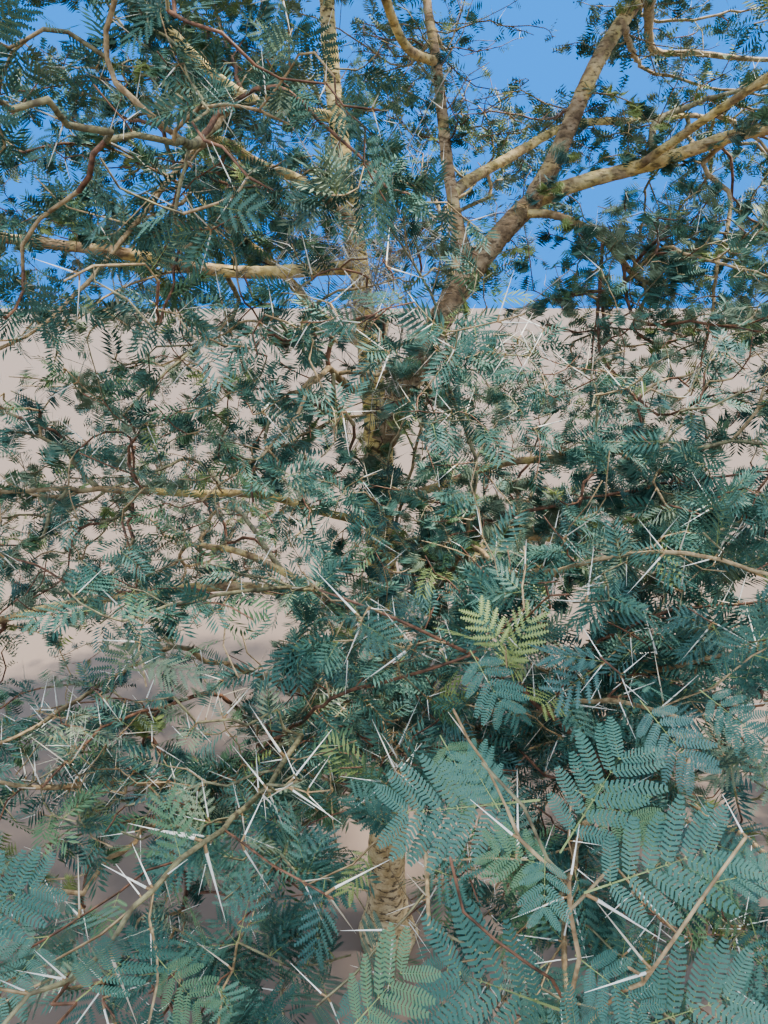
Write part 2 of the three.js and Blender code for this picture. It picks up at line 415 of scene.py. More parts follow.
RIB_LOOK = len(LEAF_TINTS)
LEAF_ROUGHNESS, LEAF_SPECULAR = 0.55, 0.3
leaf_looks = [plain_material(name, color, LEAF_ROUGHNESS, LEAF_SPECULAR) for name, color in LEAF_TINTS]
leaf_looks.append(plain_material("leaf_rib", (0.27, 0.32, 0.13), LEAF_ROUGHNESS))
TAN, RED_BROWN, GREEN_GREY, DEAD_GREY = range(4)
twig_looks = [
    drifting_material("twig_tan", (0.47, 0.36, 0.22), (0.24, 0.17, 0.1), 0.7),
    drifting_material("twig_red_brown", (0.25, 0.135, 0.09), (0.1, 0.06, 0.045), 0.55),
    drifting_material("twig_green_grey", (0.3, 0.28, 0.17), (0.13, 0.11, 0.075), 0.7),
    drifting_material("twig_dead_grey", (0.52, 0.47, 0.42), (0.27, 0.23, 0.2), 0.85),
]
IVORY, FOOT, DULL = range(3)
thorn_looks = [
    plain_material("thorn_ivory", (0.86, 0.84, 0.78), 0.35),
    plain_material("thorn_foot", (0.36, 0.24, 0.13), 0.5),
    plain_material("thorn_dull", (0.55, 0.49, 0.4), 0.45),
]

PATCH_SCALE, GREEN_SCALE, BROWN_SCALE, CRACK_SCALE = 30.0, 9.0, 13.0, 62.0
CRACK_STRETCH, CRACK_TURN = (0.8, 0.8, 2.1), (0.75, 0.5, 0)
CREAM_STOPS = [
    (0.3, (0.42, 0.31, 0.13)),
    (0.45, (0.68, 0.51, 0.22)),
    (0.6, (0.86, 0.69, 0.36)),
    (0.74, (0.54, 0.32, 0.13)),
]
EARTHY_STOPS = [
    (0.32, (0.13, 0.09, 0.06)),
    (0.46, (0.3, 0.21, 0.13)),
    (0.6, (0.44, 0.33, 0.22)),
    (0.74, (0.34, 0.19, 0.1)),
]
BARK_GREEN, CRACK_DARK = (0.36, 0.4, 0.2), (0.085, 0.06, 0.04)
EARTHY_BELOW, CLEAN_ABOVE = 0.15, 0.8  # heights between which the trunk's earthy foot fades
# Lower on the boughs their brown is partly the bark's own colour and partly painted shade, fading to cream
# higher up
BROWN_BELOW, CREAM_ABOVE = 1.7, 2.6  # heights between which the boughs' brown fades


def make_bark():
    """Creamy yellow bark with dark slanting cracks, greener in places, browner by a share and at its foot."""
    bark = Effect("bark", [("Brown", NUMBER), ("Cracks", NUMBER)], [("Color", COLOR), ("Height", NUMBER)])
    stretch = bark.node("ShaderNodeMapping")
    stretch.inputs["Scale"].default_value = CRACK_STRETCH
    stretch.inputs["Rotation"].default_value = CRACK_TURN
    bark.put(bark.place, stretch.inputs["Vector"])
    slanted = stretch.outputs["Vector"]
    patches = bark.cloud(PATCH_SCALE, 6.0, bark.place)
    cream = bark.ramp(patches, CREAM_STOPS)
    greener = bark.rise(bark.cloud(GREEN_SCALE, 3.0, bark.place), 0.48, 0.66)
    cream = bark.blend(cream, bark.blend(cream, BARK_GREEN, 0.5), greener)
    earthy = bark.ramp(patches, EARTHY_STOPS)
    axes = bark.node("ShaderNodeSeparateXYZ")
    bark.put(bark.place, axes.inputs["Vector"])
    height = axes.outputs["Z"]
    # The brown, partly painted shade, fades out with height
    fading = bark.sum(1.0, bark.rise(height, BROWN_BELOW, CREAM_ABOVE), -1.0)
    brown = bark.sum(0.0, bark.given["Brown"], fading)
    spread = bark.rise(
        bark.cloud(BROWN_SCALE, 4.0, bark.place), bark.sum(0.62, brown, -0.5), bark.sum(0.82, brown, -0.5)
    )
    mixed = bark.blend(cream, earthy, spread)
    mixed = bark.blend(bark.blend(earthy, mixed, 0.25), mixed, bark.rise(height, EARTHY_BELOW, CLEAN_ABOVE))
    whole = bark.rise(bark.cloud(CRACK_SCALE, 6.0, slanted), 0.4, 0.48)
    opened = bark.blend(mixed, CRACK_DARK, bark.given["Cracks"])
    bark.put(bark.blend(opened, mixed, whole), bark.result["Color"])
    bark.put(bark.cloud(CRACK_SCALE, 8.0, slanted), bark.result["Height"])
    return bark


bark_effect = make_bark()
BARK_ROUGHNESS, BARK_SPECULAR = 0.8, 0.25
BUMP_STRENGTH, BUMP_DEEP = 0.8, 0.003


def bark_material(name, brown, cracks):
    m, tree, shader = new_material(name, BARK_ROUGHNESS, BARK_SPECULAR)
    outputs = place_effect(tree, bark_effect, Brown=brown, Cracks=cracks)
    tree.links.new(outputs["Color"], shader.inputs["Base Color"])
    bump = tree.nodes.new("ShaderNodeBump")
    bump.inputs["Strength"].default_value = BUMP_STRENGTH
    bump.inputs["Distance"].default_value = BUMP_DEEP
    tree.links.new(outputs["Height"], bump.inputs["Height"])
    tree.links.new(bump.outputs["Normal"], shader.inputs["Normal"])
    return m


CREAM, MIXED, BROWN = range(3)
bark_looks = [
    bark_material("bark_cream", 0.1, 0.9),
    bark_material("bark_mixed", 0.45, 0.6),
    bark_material("bark_brown", 0.85, 0.75),
]
LIMB_LOOKS = {"trunk": CREAM, "leader": CREAM}
# The right bough's brown is partly its bark's colour and partly painted shade
LIMB_LOOKS.update({"right_bough": BROWN, "middle_stem": BROWN, "right_upper_arm": BROWN})


# The trunk and boughs, with the bark's relief in the mesh
TUCKED, TUCKED_LONG = 0.75, 0.02  # how narrow a limb starts inside the limb that bears it, and for how long
ROUNDED = {"trunk": TRUNK_TOP / 1000, "right_bough": 0.014}  # how far from its end a limb begins to round off
SHORTEST_TUBE = 12  # rings
BARK_SLANT = 0.9
FLAKE_SCALE, FLAKE_TALL, FLAKE_LIFT, FLAKE_ROUGH = 50, 75, 0.06, (0.9, 2.1, 3)
LUMP_SCALE, LUMP_TALL, LUMP_LIFT = 14, 9, 0.09
SPLIT_SCALE, SPLIT_TALL, SPLIT_WIDE, SPLIT_SINK = 45, 90, 0.14, 0.09
LEAST_RELIEF, MOST_RELIEF = 0.004, 0.04  # the radii between which relief grows with the limb
RIBS, RIB_TURN, RIB_HIGH, RIB_LIFT, RIB_POWER = 5, 0.8, 0.22, 0.007, 1.5
CALM_FOOT, CALM_HIGH = 0.6, 0.004  # relief at the flat cut, and how far up it grows to full


def bark_lift(verts, radii):
    """How far flakes, lumps and slanting cracks lift or sink each vertex."""
    lift = np.empty(len(verts))
    for i, v in enumerate(verts):
        slant = v[2] + BARK_SLANT * v[0]
        flake = Vector((v[0] * FLAKE_SCALE, v[1] * FLAKE_SCALE, slant * FLAKE_TALL))
        flakes = noise.fractal(flake, *FLAKE_ROUGH)
        lumps = noise.noise(Vector((v[0] * LUMP_SCALE, v[1] * LUMP_SCALE, v[2] * LUMP_TALL)))
        split = abs(noise.noise(Vector((v[0] * SPLIT_SCALE, v[1] * SPLIT_SCALE, slant * SPLIT_TALL))))
        sink = SPLIT_SINK * max(0.0, SPLIT_WIDE - split) / SPLIT_WIDE
        lift[i] = FLAKE_LIFT * flakes + LUMP_LIFT * lumps - sink
    return lift * np.clip(radii, LEAST_RELIEF, MOST_RELIEF)


def foot_lift(verts, lift):
    """The trunk's relief with the ribs of its flare, calmer at the flat cut."""
    ribs = np.clip(1 - verts[:, 2] / RIB_HIGH, 0, 1)
    angle = np.arctan2(verts[:, 1], verts[:, 0])
    lift = lift + ribs**RIB_POWER * RIB_LIFT * np.sin(RIBS * angle + RIB_TURN)
    return lift * (np.clip(verts[:, 2] / CALM_HIGH, 0, 1) * (1 - CALM_FOOT) + CALM_FOOT)


def relief_tube(name, sides, step):
    """A limb's tube with the bark's relief and a rounded tip, and the flat cut under the trunk."""
    trunk = name == "trunk"
    coarse = limb_points[name]
    far = lengths_along(coarse)
    rings = max(SHORTEST_TUBE, int(far[-1] / step))
    s = np.linspace(0, far[-1], rings)
    points = np.stack([np.interp(s, far, coarse[:, i]) for i in range(3)], 1)
    r = np.interp(s, far, limb_radii[name])
    if name in ROUNDED:
        dome = np.clip((far[-1] - s) / ROUNDED[name], 0, 1)
        r *= np.sqrt(np.clip(1 - (1 - dome) ** 2, 0.02, 1))
    if trunk:
        across, over = np.tile(RIGHT, (rings, 1)), np.tile([0.0, 1.0, 0.0], (rings, 1))
    else:
        r *= np.clip(TUCKED + (1 - TUCKED) * s / TUCKED_LONG, 0, 1)
        across, over = frames_along(points)
    rim = rims(across, over, sides)
    verts = (points[:, None] + rim * r[:, None, None]).reshape(-1, 3)
    lift = bark_lift(verts, np.repeat(r, sides))
    if trunk:
        lift = foot_lift(verts, lift)
    verts = verts + rim.reshape(-1, 3) * lift[:, None]
    tip = points[-1] + unit(points[-1] - points[-2]) * r[-1] * LIMB_POINT
    tris = ring_tris(rings, sides)
    if not trunk:
        return np.vstack([verts, tip]), tris
    verts[:sides, 2] = 0.0
    verts[:, 2] = np.maximum(verts[:, 2], 0.0)
    first = np.arange(sides)
    cap = np.stack([np.roll(first, -1), first, np.full(sides, len(verts) + 1)], 1)
    return np.vstack([verts, tip, [[0, 0, 0]]]), np.concatenate([tris, cap])


SHOWN_LIMBS = {"trunk": (52, 0.0052), "leader": (36, 0.0075), "right_bough": (40, 0.006)}  # sides, ring gap
THICK_LIMB, THICK_SIDES, THIN_SIDES, LIMB_STEP = 0.02, 24, 14, 0.0115


def make_bark_piece():
    bark = Batch()
    for limb, radii in limb_radii.items():
        usual = (THICK_SIDES if radii.max() > THICK_LIMB else THIN_SIDES, LIMB_STEP)
        bark.add(*relief_tube(limb, *SHOWN_LIMBS.get(limb, usual)), LIMB_LOOKS.get(limb, MIXED))
    bark_piece = bark.make("bark_relief", bark_looks)
    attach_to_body(bark_piece, "root")
    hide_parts(*limb_points)


make_bark_piece()


# Branches: each knows its points, its parent and where on it, and how much grows from it
class Branch:
    def __init__(self, points, parent=None, at=0, in_mass=False, leafy=1.0, thorny=1.0, cap=None):
        self.points, self.parent, self.at = points, parent, at
        self.in_mass, self.leafy, self.thorny, self.cap = in_mass, leafy, thorny, cap
        self.load = np.zeros(len(points))


branches = []
SEGMENT = 0.035
LEAVING_PULL = 0.45  # how far along a branch, as a share of its length, the way it leaves its parent pulls it


def wander(start, end, leaving, bend):
    """A crooked line from start to end that leaves its parent along leaving."""
    gap = np.linalg.norm(end - start)
    n = max(3, int(gap / SEGMENT) + 1)
    t = np.linspace(0, 1, n + 1)[:, None]
    middle = start + leaving * gap * LEAVING_PULL
    line = (1 - t) ** 2 * start + 2 * t * (1 - t) * middle + t**2 * end
    zigzag = rng.normal(0, 1, (n + 1, 3)) * gap * bend
    zigzag[0] = 0
    return line + zigzag * np.minimum(1, t * 3)


def add_branch(points, parent, at, **facts):
    branch = Branch(points, parent, at, **facts)
    branches.append(branch)
    return branch


def reach_of(tree, centre, direction):
    """How far a mass's surface lies from its centre in a direction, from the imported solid."""
    hit = tree.ray_cast(Vector(centre), Vector(direction))
    return hit[3] if hit[0] is not None else 0.0


mass_trees, mass_centres, mass_volumes = {}, {}, {}
MASS_SHARE = 0.5  # how much of its box a mass fills
for node, solid in frame["nodes"].items():
    if node.startswith("foliage_"):
        low, high = (np.array(corner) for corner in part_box(node))
        polygons = [tuple(p.vertices) for p in solid.data.polygons]
        mass_trees[node] = BVHTree.FromPolygons([v.co for v in solid.data.vertices], polygons)
        mass_centres[node] = (low + high) / 2
        mass_volumes[node] = np.prod(high - low) * MASS_SHARE
foliage_nodes = list(mass_centres)

LOWEST_TWIG, LOWEST_LEAF = 0.12, 0.05
BOX_LOW, BOX_HIGH = (np.array(corner) for corner in CAD_BOX)
TWIG_ROOM, LEAF_OVERHANG = 0.01, 0.04  # how far twigs, and leaves and thorns, may pass the solid model's box
CAMERA_ROOM = 0.3  # no twig ends nearer to the camera than this
UPPER_ROOM, UPPER_ROWS = 0.62, 600  # nor nearer than this where it shows above that row of the picture
LEAST_DEPTH = 0.05  # what lies less far ahead of the camera than this is beside or behind it


def in_box(place, spare):
    """Whether a place lies in the solid model's box grown by spare."""
    return (place > BOX_LOW - spare).all() and (place < BOX_HIGH + spare).all()


def clear_of_camera(place):
    """Whether a twig may end here without standing large before the camera, where the photo shows none."""
    gap = np.linalg.norm(place - CAMERA_PLACE)
    if gap < CAMERA_ROOM:
        return False
    _, v, depth = seen_at(place)
    return gap > UPPER_ROOM or v > UPPER_ROWS or depth < LEAST_DEPTH


SHELL, SHELL_POWER = 0.25, 0.6  # from what share of a mass's reach twigs end, and how many more end far out
MOST_TRIES = 30


def inside_targets(node, count, spacing):
    """Places spread through a mass, most of them in its outer part."""
    centre, tree = mass_centres[node], mass_trees[node]
    chosen = []
    tries = 0
    while len(chosen) < count and tries < count * MOST_TRIES:
        tries += 1
        direction = unit(rng.normal(0, 1, 3))
        reach = reach_of(tree, centre, direction)
        place = centre + direction * reach * rng.uniform(SHELL, 1.0) ** SHELL_POWER * rng.uniform(0.9, 1.1)
        if place[2] < LOWEST_TWIG or not in_box(place, TWIG_ROOM) or not clear_of_camera(place):
            continue
        if any(np.dot(place - c, place - c) < spacing**2 for c in chosen):
            continue
        chosen.append(place)
    return chosen


INWARD_COST = 0.25  # how much a twig would rather start near the mass's own root than near its end
SHORTEST_TWIG = 0.03
ONWARD, UPWARD, TWIG_BEND = 0.9, 0.15, 0.035


def attach(targets, spine):
    """Grows a twig to each target from the nearest branch of the mass, nearest targets first."""
    start = spine.points[0]
    places = spine.points
    owners = [(spine, i) for i in range(len(places))]
    for target in sorted(targets, key=lambda p: np.linalg.norm(p - start)):
        gaps = np.linalg.norm(places - target, axis=1)
        inward = np.linalg.norm(places - start, axis=1)
        best = int(np.argmin(gaps + INWARD_COST * inward))
        parent, at = owners[best]
        if gaps[best] < SHORTEST_TWIG:
            continue
        before = parent.points[max(at - 1, 0)]
        after = parent.points[min(at + 1, len(parent.points) - 1)]
        leaving = unit(unit(after - before) * ONWARD + unit(target - places[best]) + UP * UPWARD)
        line = wander(places[best], target, leaving, TWIG_BEND)
        new = add_branch(line, parent, at, in_mass=True)
        places = np.concatenate([places, line[1:]])
        owners.extend((new, i) for i in range(1, len(line)))


# Twigs that the photo shows in front of, beside and above the trunk: the limb that carries each, where on it,
# radius at its root (mm), leaves, thorns, then pixel columns and rows with depths ahead of the camera.
VIEW_TWIGS = [
    ("front_left_bough", 1.0, 6.0, 0.7, 0.8, [
        (240, 97, 1.08), (196, 145, 1.02), (150, 205, 0.97), (120, 245, 0.94), (73, 298, 0.9),
        (25, 335, 0.86), (-60, 380, 0.8)]),
    ("front_left_bough", 1.0, 4.5, 2.2, 0.6, [
        (240, 97, 1.04), (276, 89, 1.0), (304, 102, 0.97), (338, 139, 0.94), (361, 156, 0.92),
        (388, 189, 0.9), (410, 192, 0.88)]),
    ("front_left_bough", 0.75, 4.0, 0.8, 0.6, [
        (200, 190, 1.3), (100, 145, 1.2), (45, 148, 1.12), (0, 155, 1.08), (-60, 160, 1.0)]),
    ("low_front_left_bough", 1.0, 6.0, 0.7, 1.6, [
        (152, 782, 1.12), (95, 785, 1.02), (0, 783, 0.92), (-80, 770, 0.85)]),
    ("trunk", 0.52, 8.0, 0.7, 1.6, [
        (300, 690, 1.5), (244, 670, 1.4), (206, 660, 1.32), (173, 647, 1.25), (101, 685, 1.1),
        (38, 725, 1.0), (-40, 760, 0.92)]),
    ("low_front_left_bough", 0.7, 5.0, 0.8, 1.4, [
        (223, 696, 1.2), (164, 706, 1.1), (101, 732, 1.0), (40, 790, 0.92)]),
    ("low_front_left_bough", 0.85, 5.0, 0.8, 0.9, [
        (300, 735, 1.0), (286, 756, 0.9), (262, 797, 0.8), (234, 817, 0.72), (204, 844, 0.64),
        (152, 885, 0.57), (108, 943, 0.51), (70, 976, 0.47), (32, 994, 0.44), (-20, 1050, 0.42)]),
    ("low_front_left_bough", 0.9, 2.5, 1.0, 0.8, [
        (345, 700, 1.15), (327, 731, 1.0), (331, 775, 0.92), (338, 850, 0.85)]),
    ("low_front_left_bough", 0.95, 2.4, 0.7, 2.0, [(247, 776, 1.05), (196, 784, 0.98), (140, 783, 0.94)]),
    ("low_front_right_bough", 1.0, 3.2, 0.25, 0.2, [
        (640, 900, 0.95), (620, 1060, 0.72), (575, 1090, 0.56), (567, 1010, 0.48), (573, 958, 0.46),
        (576, 912, 0.44), (566, 880, 0.43), (545, 858, 0.43), (521, 836, 0.43), (503, 812, 0.44)]),
    ("low_front_right_bough", 1.0, 5.5, 1.4, 1.0, [
        (624, 689, 0.98), (662, 668, 0.9), (705, 660, 0.82), (790, 640, 0.75)]),
    ("low_front_right_bough", 1.0, 6.5, 1.5, 1.0, [
        (590, 800, 0.9), (568, 880, 0.74), (563, 960, 0.62), (570, 1060, 0.54)]),
    ("trunk", 0.7, 7.0, 1.4, 1.0, [
        (440, 584, 1.4), (467, 547, 1.25), (511, 572, 1.05), (557, 568, 0.95), (628, 557, 0.85),
        (685, 553, 0.78), (722, 563, 0.73), (800, 585, 0.68)]),
    ("trunk", 0.4, 7.0, 1.5, 1.2, [
        (400, 759, 1.6), (426, 754, 1.45), (467, 739, 1.25), (492, 724, 1.1), (540, 712, 0.92),
        (610, 700, 0.76), (680, 720, 0.66)]),
    ("trunk", 0.36, 7.0, 1.1, 0.8, [
        (408, 700, 1.5), (440, 640, 1.42), (462, 580, 1.36), (468, 530, 1.32), (476, 459, 1.3),
        (457, 410, 1.29), (448, 380, 1.28), (445, 328, 1.27), (430, 296, 1.26), (404, 246, 1.25),
        (387, 226, 1.24)]),
    ("trunk", 0.75, 4.0, 0.9, 0.8, [
        (430, 391, 1.45), (411, 394, 1.4), (375, 409, 1.32), (330, 423, 1.25), (286, 444, 1.18),
        (250, 462, 1.12), (200, 500, 1.05)]),
    ("low_front_right_bough", 0.9, 4.0, 2.0, 1.0, [
        (600, 760, 0.95), (520, 690, 0.85), (450, 645, 0.78), (380, 612, 0.76), (320, 590, 0.76)]),
    ("low_front_left_bough", 0.8, 3.0, 2.2, 0.7, [
        (330, 780, 1.0), (285, 850, 0.85), (250, 920, 0.72), (225, 990, 0.62), (215, 1060, 0.55)]),
    ("low_front_right_bough", 0.8, 4.0, 2.0, 0.8, [
        (560, 700, 1.05), (600, 640, 1.0), (680, 610, 0.95), (770, 600, 0.9)]),
    ("low_front_left_bough", 0.9, 4.0, 2.0, 1.0, [
        (330, 700, 0.95), (400, 680, 0.84), (470, 655, 0.78), (520, 610, 0.76)]),
    ("trunk", 0.6, 6.0, 1.2, 1.0, [
        (360, 640, 1.45), (325, 600, 1.2), (290, 590, 1.02), (215, 595, 0.88), (120, 620, 0.78)]),
    ("trunk", 0.45, 6.0, 1.5, 1.0, [
        (370, 720, 1.45), (382, 727, 1.15), (398, 760, 0.85), (420, 830, 0.66), (430, 930, 0.55)]),
    ("inner_right_bough", 1.0, 4.0, 0.8, 0.6, [
        (663, 247, 1.42), (698, 259, 1.32), (768, 274, 1.2), (830, 290, 1.12)]),
    ("inner_right_bough", 0.9, 4.0, 0.8, 0.6, [
        (637, 320, 1.45), (706, 323, 1.3), (768, 333, 1.2), (830, 345, 1.12)]),
    ("inner_right_bough", 0.7, 4.5, 0.9, 0.6, [
        (600, 350, 1.5), (640, 400, 1.4), (670, 416, 1.32), (706, 398, 1.25), (768, 386, 1.15)]),
    ("right_arm", 0.55, 6.5, 0.9, 0.6, [
        (703, 165, 1.66), (729, 190, 1.62), (730, 219, 1.58), (718, 266, 1.52), (710, 328, 1.46),
        (692, 395, 1.4)]),
    ("right_arm", 0.32, 11.0, 0.7, 0.6, [
        (656, 122, 1.82), (685, 108, 1.84), (729, 93, 1.86), (768, 87, 1.88), (840, 80, 1.9)]),
    ("right_upper_arm", 0.5, 9.0, 0.7, 0.6, [
        (642, 68, 2.1), (671, 77, 2.1), (712, 87, 2.1), (770, 96, 2.1)]),
    ("right_upper_arm", 0.62, 16.0, 0.7, 0.6, [
        (653, 49, 2.16), (693, 54, 2.16), (768, 60, 2.16), (850, 60, 2.16)]),
    ("right_upper_arm", 0.7, 10.0, 0.7, 0.6, [
        (642, 16, 2.2), (694, 20, 2.2), (719, 14, 2.2), (768, 7, 2.2)]),
    ("right_upper_arm", 0.25, 5.0, 0.7, 0.6, [(540, 120, 2.05), (500, 112, 2.0), (462, 116, 1.95)]),
    ("left_bough", 0.3, 6.0, 0.8, 0.8, [
        (237, 309, 1.6), (195, 350, 1.5), (166, 370, 1.45), (120, 420, 1.4)]),
    ("left_bough", 0.42, 4.0, 0.9, 0.6, [
        (204, 232, 1.6), (245, 214, 1.55), (283, 189, 1.5), (310, 170, 1.45)]),
    ("left_bough", 0.55, 5.0, 0.9, 0.6, [
        (217, 275, 1.6), (179, 272, 1.52), (120, 290, 1.45), (60, 330, 1.38)]),
    ("middle_stem", 0.6, 6.0, 0.6, 0.5, [(447, 50, 2.2), (465, 0, 2.2), (480, -40, 2.2)]),
    ("middle_stem", 0.52, 5.0, 0.7, 0.5, [(400, 66, 2.1), (340, 30, 2.05), (290, 10, 2.0)]),
    ("leader", 0.33, 5.0, 0.7, 0.5, [(303, 66, 2.0), (275, 59, 1.96), (217, 38, 1.9), (150, 0, 1.85)]),
    ("upper_left_bough", 0.5, 5.0, 0.8, 0.6, [
        (150, 80, 2.0), (100, 80, 1.95), (60, 85, 1.9), (0, 95, 1.85)]),
    ("upper_left_bough", 0.7, 6.0, 1.2, 0.8, [
        (98, -30, 1.8), (118, 20, 1.72), (157, 56, 1.62), (186, 81, 1.52), (192, 150, 1.42)]),
    ("upper_left_bough", 0.35, 5.0, 1.2, 0.6, [
        (205, -20, 2.0), (218, 15, 1.9), (228, 49, 1.8), (243, 74, 1.7)]),
    ("low_front_right_bough", 0.7, 4.0, 2.0, 0.8, [
        (580, 660, 1.2), (640, 590, 1.12), (700, 540, 1.06), (790, 500, 1.0)]),
    ("low_front_right_bough", 0.85, 3.0, 2.0, 0.8, [
        (600, 720, 1.0), (565, 655, 0.94), (535, 615, 0.9), (500, 580, 0.86)]),
    ("trunk", 0.62, 5.0, 1.6, 0.8, [
        (430, 560, 1.45), (500, 520, 1.3), (580, 500, 1.2), (680, 482, 1.13), (790, 470, 1.05)]),
    ("low_back_left_bough", 0.55, 8.0, 0.6, 0.6, [
        (202, 464, 2.3), (161, 469, 2.2), (125, 482, 2.1), (59, 514, 2.0), (18, 516, 1.95), (-60, 525, 1.9)]),
]


def smoothed(points, step):
    """A line through points, rounded at its corners and cut into steps of about the given length."""
    points = np.asarray(points, float)
    out = []
    padded = np.vstack([2 * points[0] - points[1], points, 2 * points[-1] - points[-2]])
    for i in range(1, len(padded) - 2):
        p0, p1, p2, p3 = padded[i - 1 : i + 3]
        first, second, third = p2 - p0, 2 * p0 - 5 * p1 + 4 * p2 - p3, 3 * p1 - p0 - 3 * p2 + p3
        n = max(1, int(np.linalg.norm(p2 - p1) / step))
        for t in np.arange(n) / n:
            out.append(0.5 * (2 * p1 + first * t + second * t**2 + third * t**3))
    out.append(points[-1])
    return np.array(out)


SIDE_BEND, SIDE_SPREAD, SIDE_SHRINK = 0.04, 0.45, 0.35
FORKING, FORK_GAP, FORK_REACH = 0.16, 0.06, 0.55  # the length from which a side twig has its own, and theirs


def side_twigs(branch, gap, reach, leafy, thorny):
    """Short twigs to alternate sides of a branch."""
    line = branch.points
    far = lengths_along(line)
    where, side = gap * rng.uniform(0.8, 1.4), rng.choice([-1, 1])
    while where < far[-1]:
        i = int(np.clip(np.searchsorted(far, where), 1, len(line) - 1))
        ahead = unit(line[i] - line[i - 1])
        out = unit(np.cross(ahead, UP) * side + rng.normal(0, SIDE_SPREAD, 3) + UP * rng.uniform(-0.25, 0.45))
        share = where / far[-1]
        size = reach * rng.uniform(0.5, 1.15) * (1 - SIDE_SHRINK * share)
        end = line[i] + unit(ahead * rng.uniform(0.4, 1.0) + out) * size
        if clear_of_camera(end) and in_box(end, TWIG_ROOM) and end[2] > LOWEST_TWIG:
            way = wander(line[i], end, unit(ahead + out), SIDE_BEND)
            twig = add_branch(way, branch, i, leafy=leafy, thorny=thorny)
            if size > FORKING:
                side_twigs(twig, FORK_GAP, size * FORK_REACH, leafy, thorny)
        side = -side
        where += gap * rng.uniform(0.6, 1.4)


CELL = 8  # pixels
MOST_CELLS = 200
PICTURE = (0, 2 * HALF_WIDE, 0, 2 * HALF_HIGH)
KEPT_NEAREST, HIDING_NEAREST = 0.2, 0.1
LEAST_AHEAD = 0.008  # how much nearer than a line that shows something stands that hides it
CLEARED = 0.75  # share of the leaves left off before a twig or thorn that the photo shows
CLEARED_NEAR = 0.92  # the same for the nearest leaves, which are tested over their whole width
LEAF_LINE = np.array([(x, 0.0, 0.0) for x in (0.0, 0.04, 0.075)])
NET_LONG, NET_WIDE = (0.0, 0.025, 0.05, 0.075), (-0.028, -0.014, 0.0, 0.014, 0.028)
LEAF_NET = np.array([(x, y, 0.0) for x in NET_LONG for y in NET_WIDE])
kept_in_view = {}


def keep_in_view(line):
    """Notes the depth of a line that shows, in cells of the picture."""
    for start, end in zip(line[:-1], line[1:]):
        (u0, u1), (v0, v1), _ = seen_at(np.array([start, end]))
        steps = int(max(abs(u1 - u0), abs(v1 - v0)) / CELL * 2) + 1
        if steps > MOST_CELLS:
            continue
        for t in np.arange(steps + 1) / steps:
            u, v, depth = (float(x) for x in seen_at(start + (end - start) * t))
            if within(u, v, PICTURE) and depth > KEPT_NEAREST:
                cell = (int(u // CELL), int(v // CELL))
                kept_in_view[cell] = max(depth, kept_in_view.get(cell, 0.0))


def hides(places):
    """Whether something at these places would stand before a line that shows."""
    columns, rows, depths = seen_at(places)
    for u, v, depth in zip(columns, rows, depths):
        if HIDING_NEAREST < depth < kept_in_view.get((int(u // CELL), int(v // CELL)), 0.0) - LEAST_AHEAD:
            return True
    return False


ROUTE_STEP, ROUTE_STRAY = 0.03, 0.0018
ROUTE_LEAVES = 0.6  # how many of a twig's leaves grow on its own line
NEAR_ROUTE, NEAR_GAP, NEAR_REACH, FAR_GAP, FAR_REACH = 1.2, 0.05, 0.2, 0.07, 0.26


def grow_view_twigs():
    """The twigs that the photo shows, with their side twigs."""
    for carrier, at, thick, leafy, thorny, route in VIEW_TWIGS:
        root = limb_points[carrier][int(round(at * LINE_STEPS))]
        line = smoothed([root] + [from_view(*stop) for stop in route], ROUTE_STEP)
        line[2:] += rng.normal(0, ROUTE_STRAY, (len(line) - 2, 3))
        main = add_branch(line, None, 0, leafy=leafy * ROUTE_LEAVES, thorny=thorny, cap=thick / 1000)
        keep_in_view(line)
        near = min(stop[2] for stop in route) < NEAR_ROUTE
        side_twigs(main, NEAR_GAP if near else FAR_GAP, NEAR_REACH if near else FAR_REACH, leafy, thorny)


LIMB_TWIG_GAP, LIMB_TWIG_REACH, LIMB_TWIG_THICK = 0.1, 0.24, 0.0022
BARE_SHARE = {"trunk": 0.78, "right_bough": 0.3, "leader": 0.12, "right_upper_arm": 0.2, "middle_stem": 0.15}
USUAL_BARE = 0.3


def grow_limb_twigs():
    """Small twigs along every limb past its bare foot."""
    for limb, points in limb_points.items():
        start = int(LINE_STEPS * BARE_SHARE.get(limb, USUAL_BARE))
        bare = Branch(points[start::3])
        side_twigs(bare, LIMB_TWIG_GAP, LIMB_TWIG_REACH, 1.0, 0.8)
        for twig in branches:
            if twig.parent is bare:
                twig.parent, twig.cap = None, LIMB_TWIG_THICK


TANGLE_ROOT, TANGLE_MIDDLE, TANGLE_TWIGS = 0.14, (385, 280, 1.36), 80
TANGLE_SIZE, TANGLE_SHAPE = 0.15, np.array([0.6, 0.5, 0.9])


def grow_tangle():
    """The bare grey twigs before the left stem."""
    root = limb_points["leader"][int(TANGLE_ROOT * LINE_STEPS)]
    middle = from_view(*TANGLE_MIDDLE)
    tangle = [add_branch(wander(root, middle, UP, 0.03), None, 0, leafy=0, thorny=1.6, cap=0.003)]
    for _ in range(TANGLE_TWIGS):
        carrier = tangle[int(rng.integers(len(tangle)))]
        at = int(rng.integers(1, len(carrier.points)))
        end = middle + rng.normal(0, 1, 3) * TANGLE_SIZE * TANGLE_SHAPE
        way = wander(carrier.points[at], end, unit(rng.normal(0, 1, 3)), 0.05)
        tangle.append(add_branch(way, carrier, at, leafy=0, thorny=1.8))


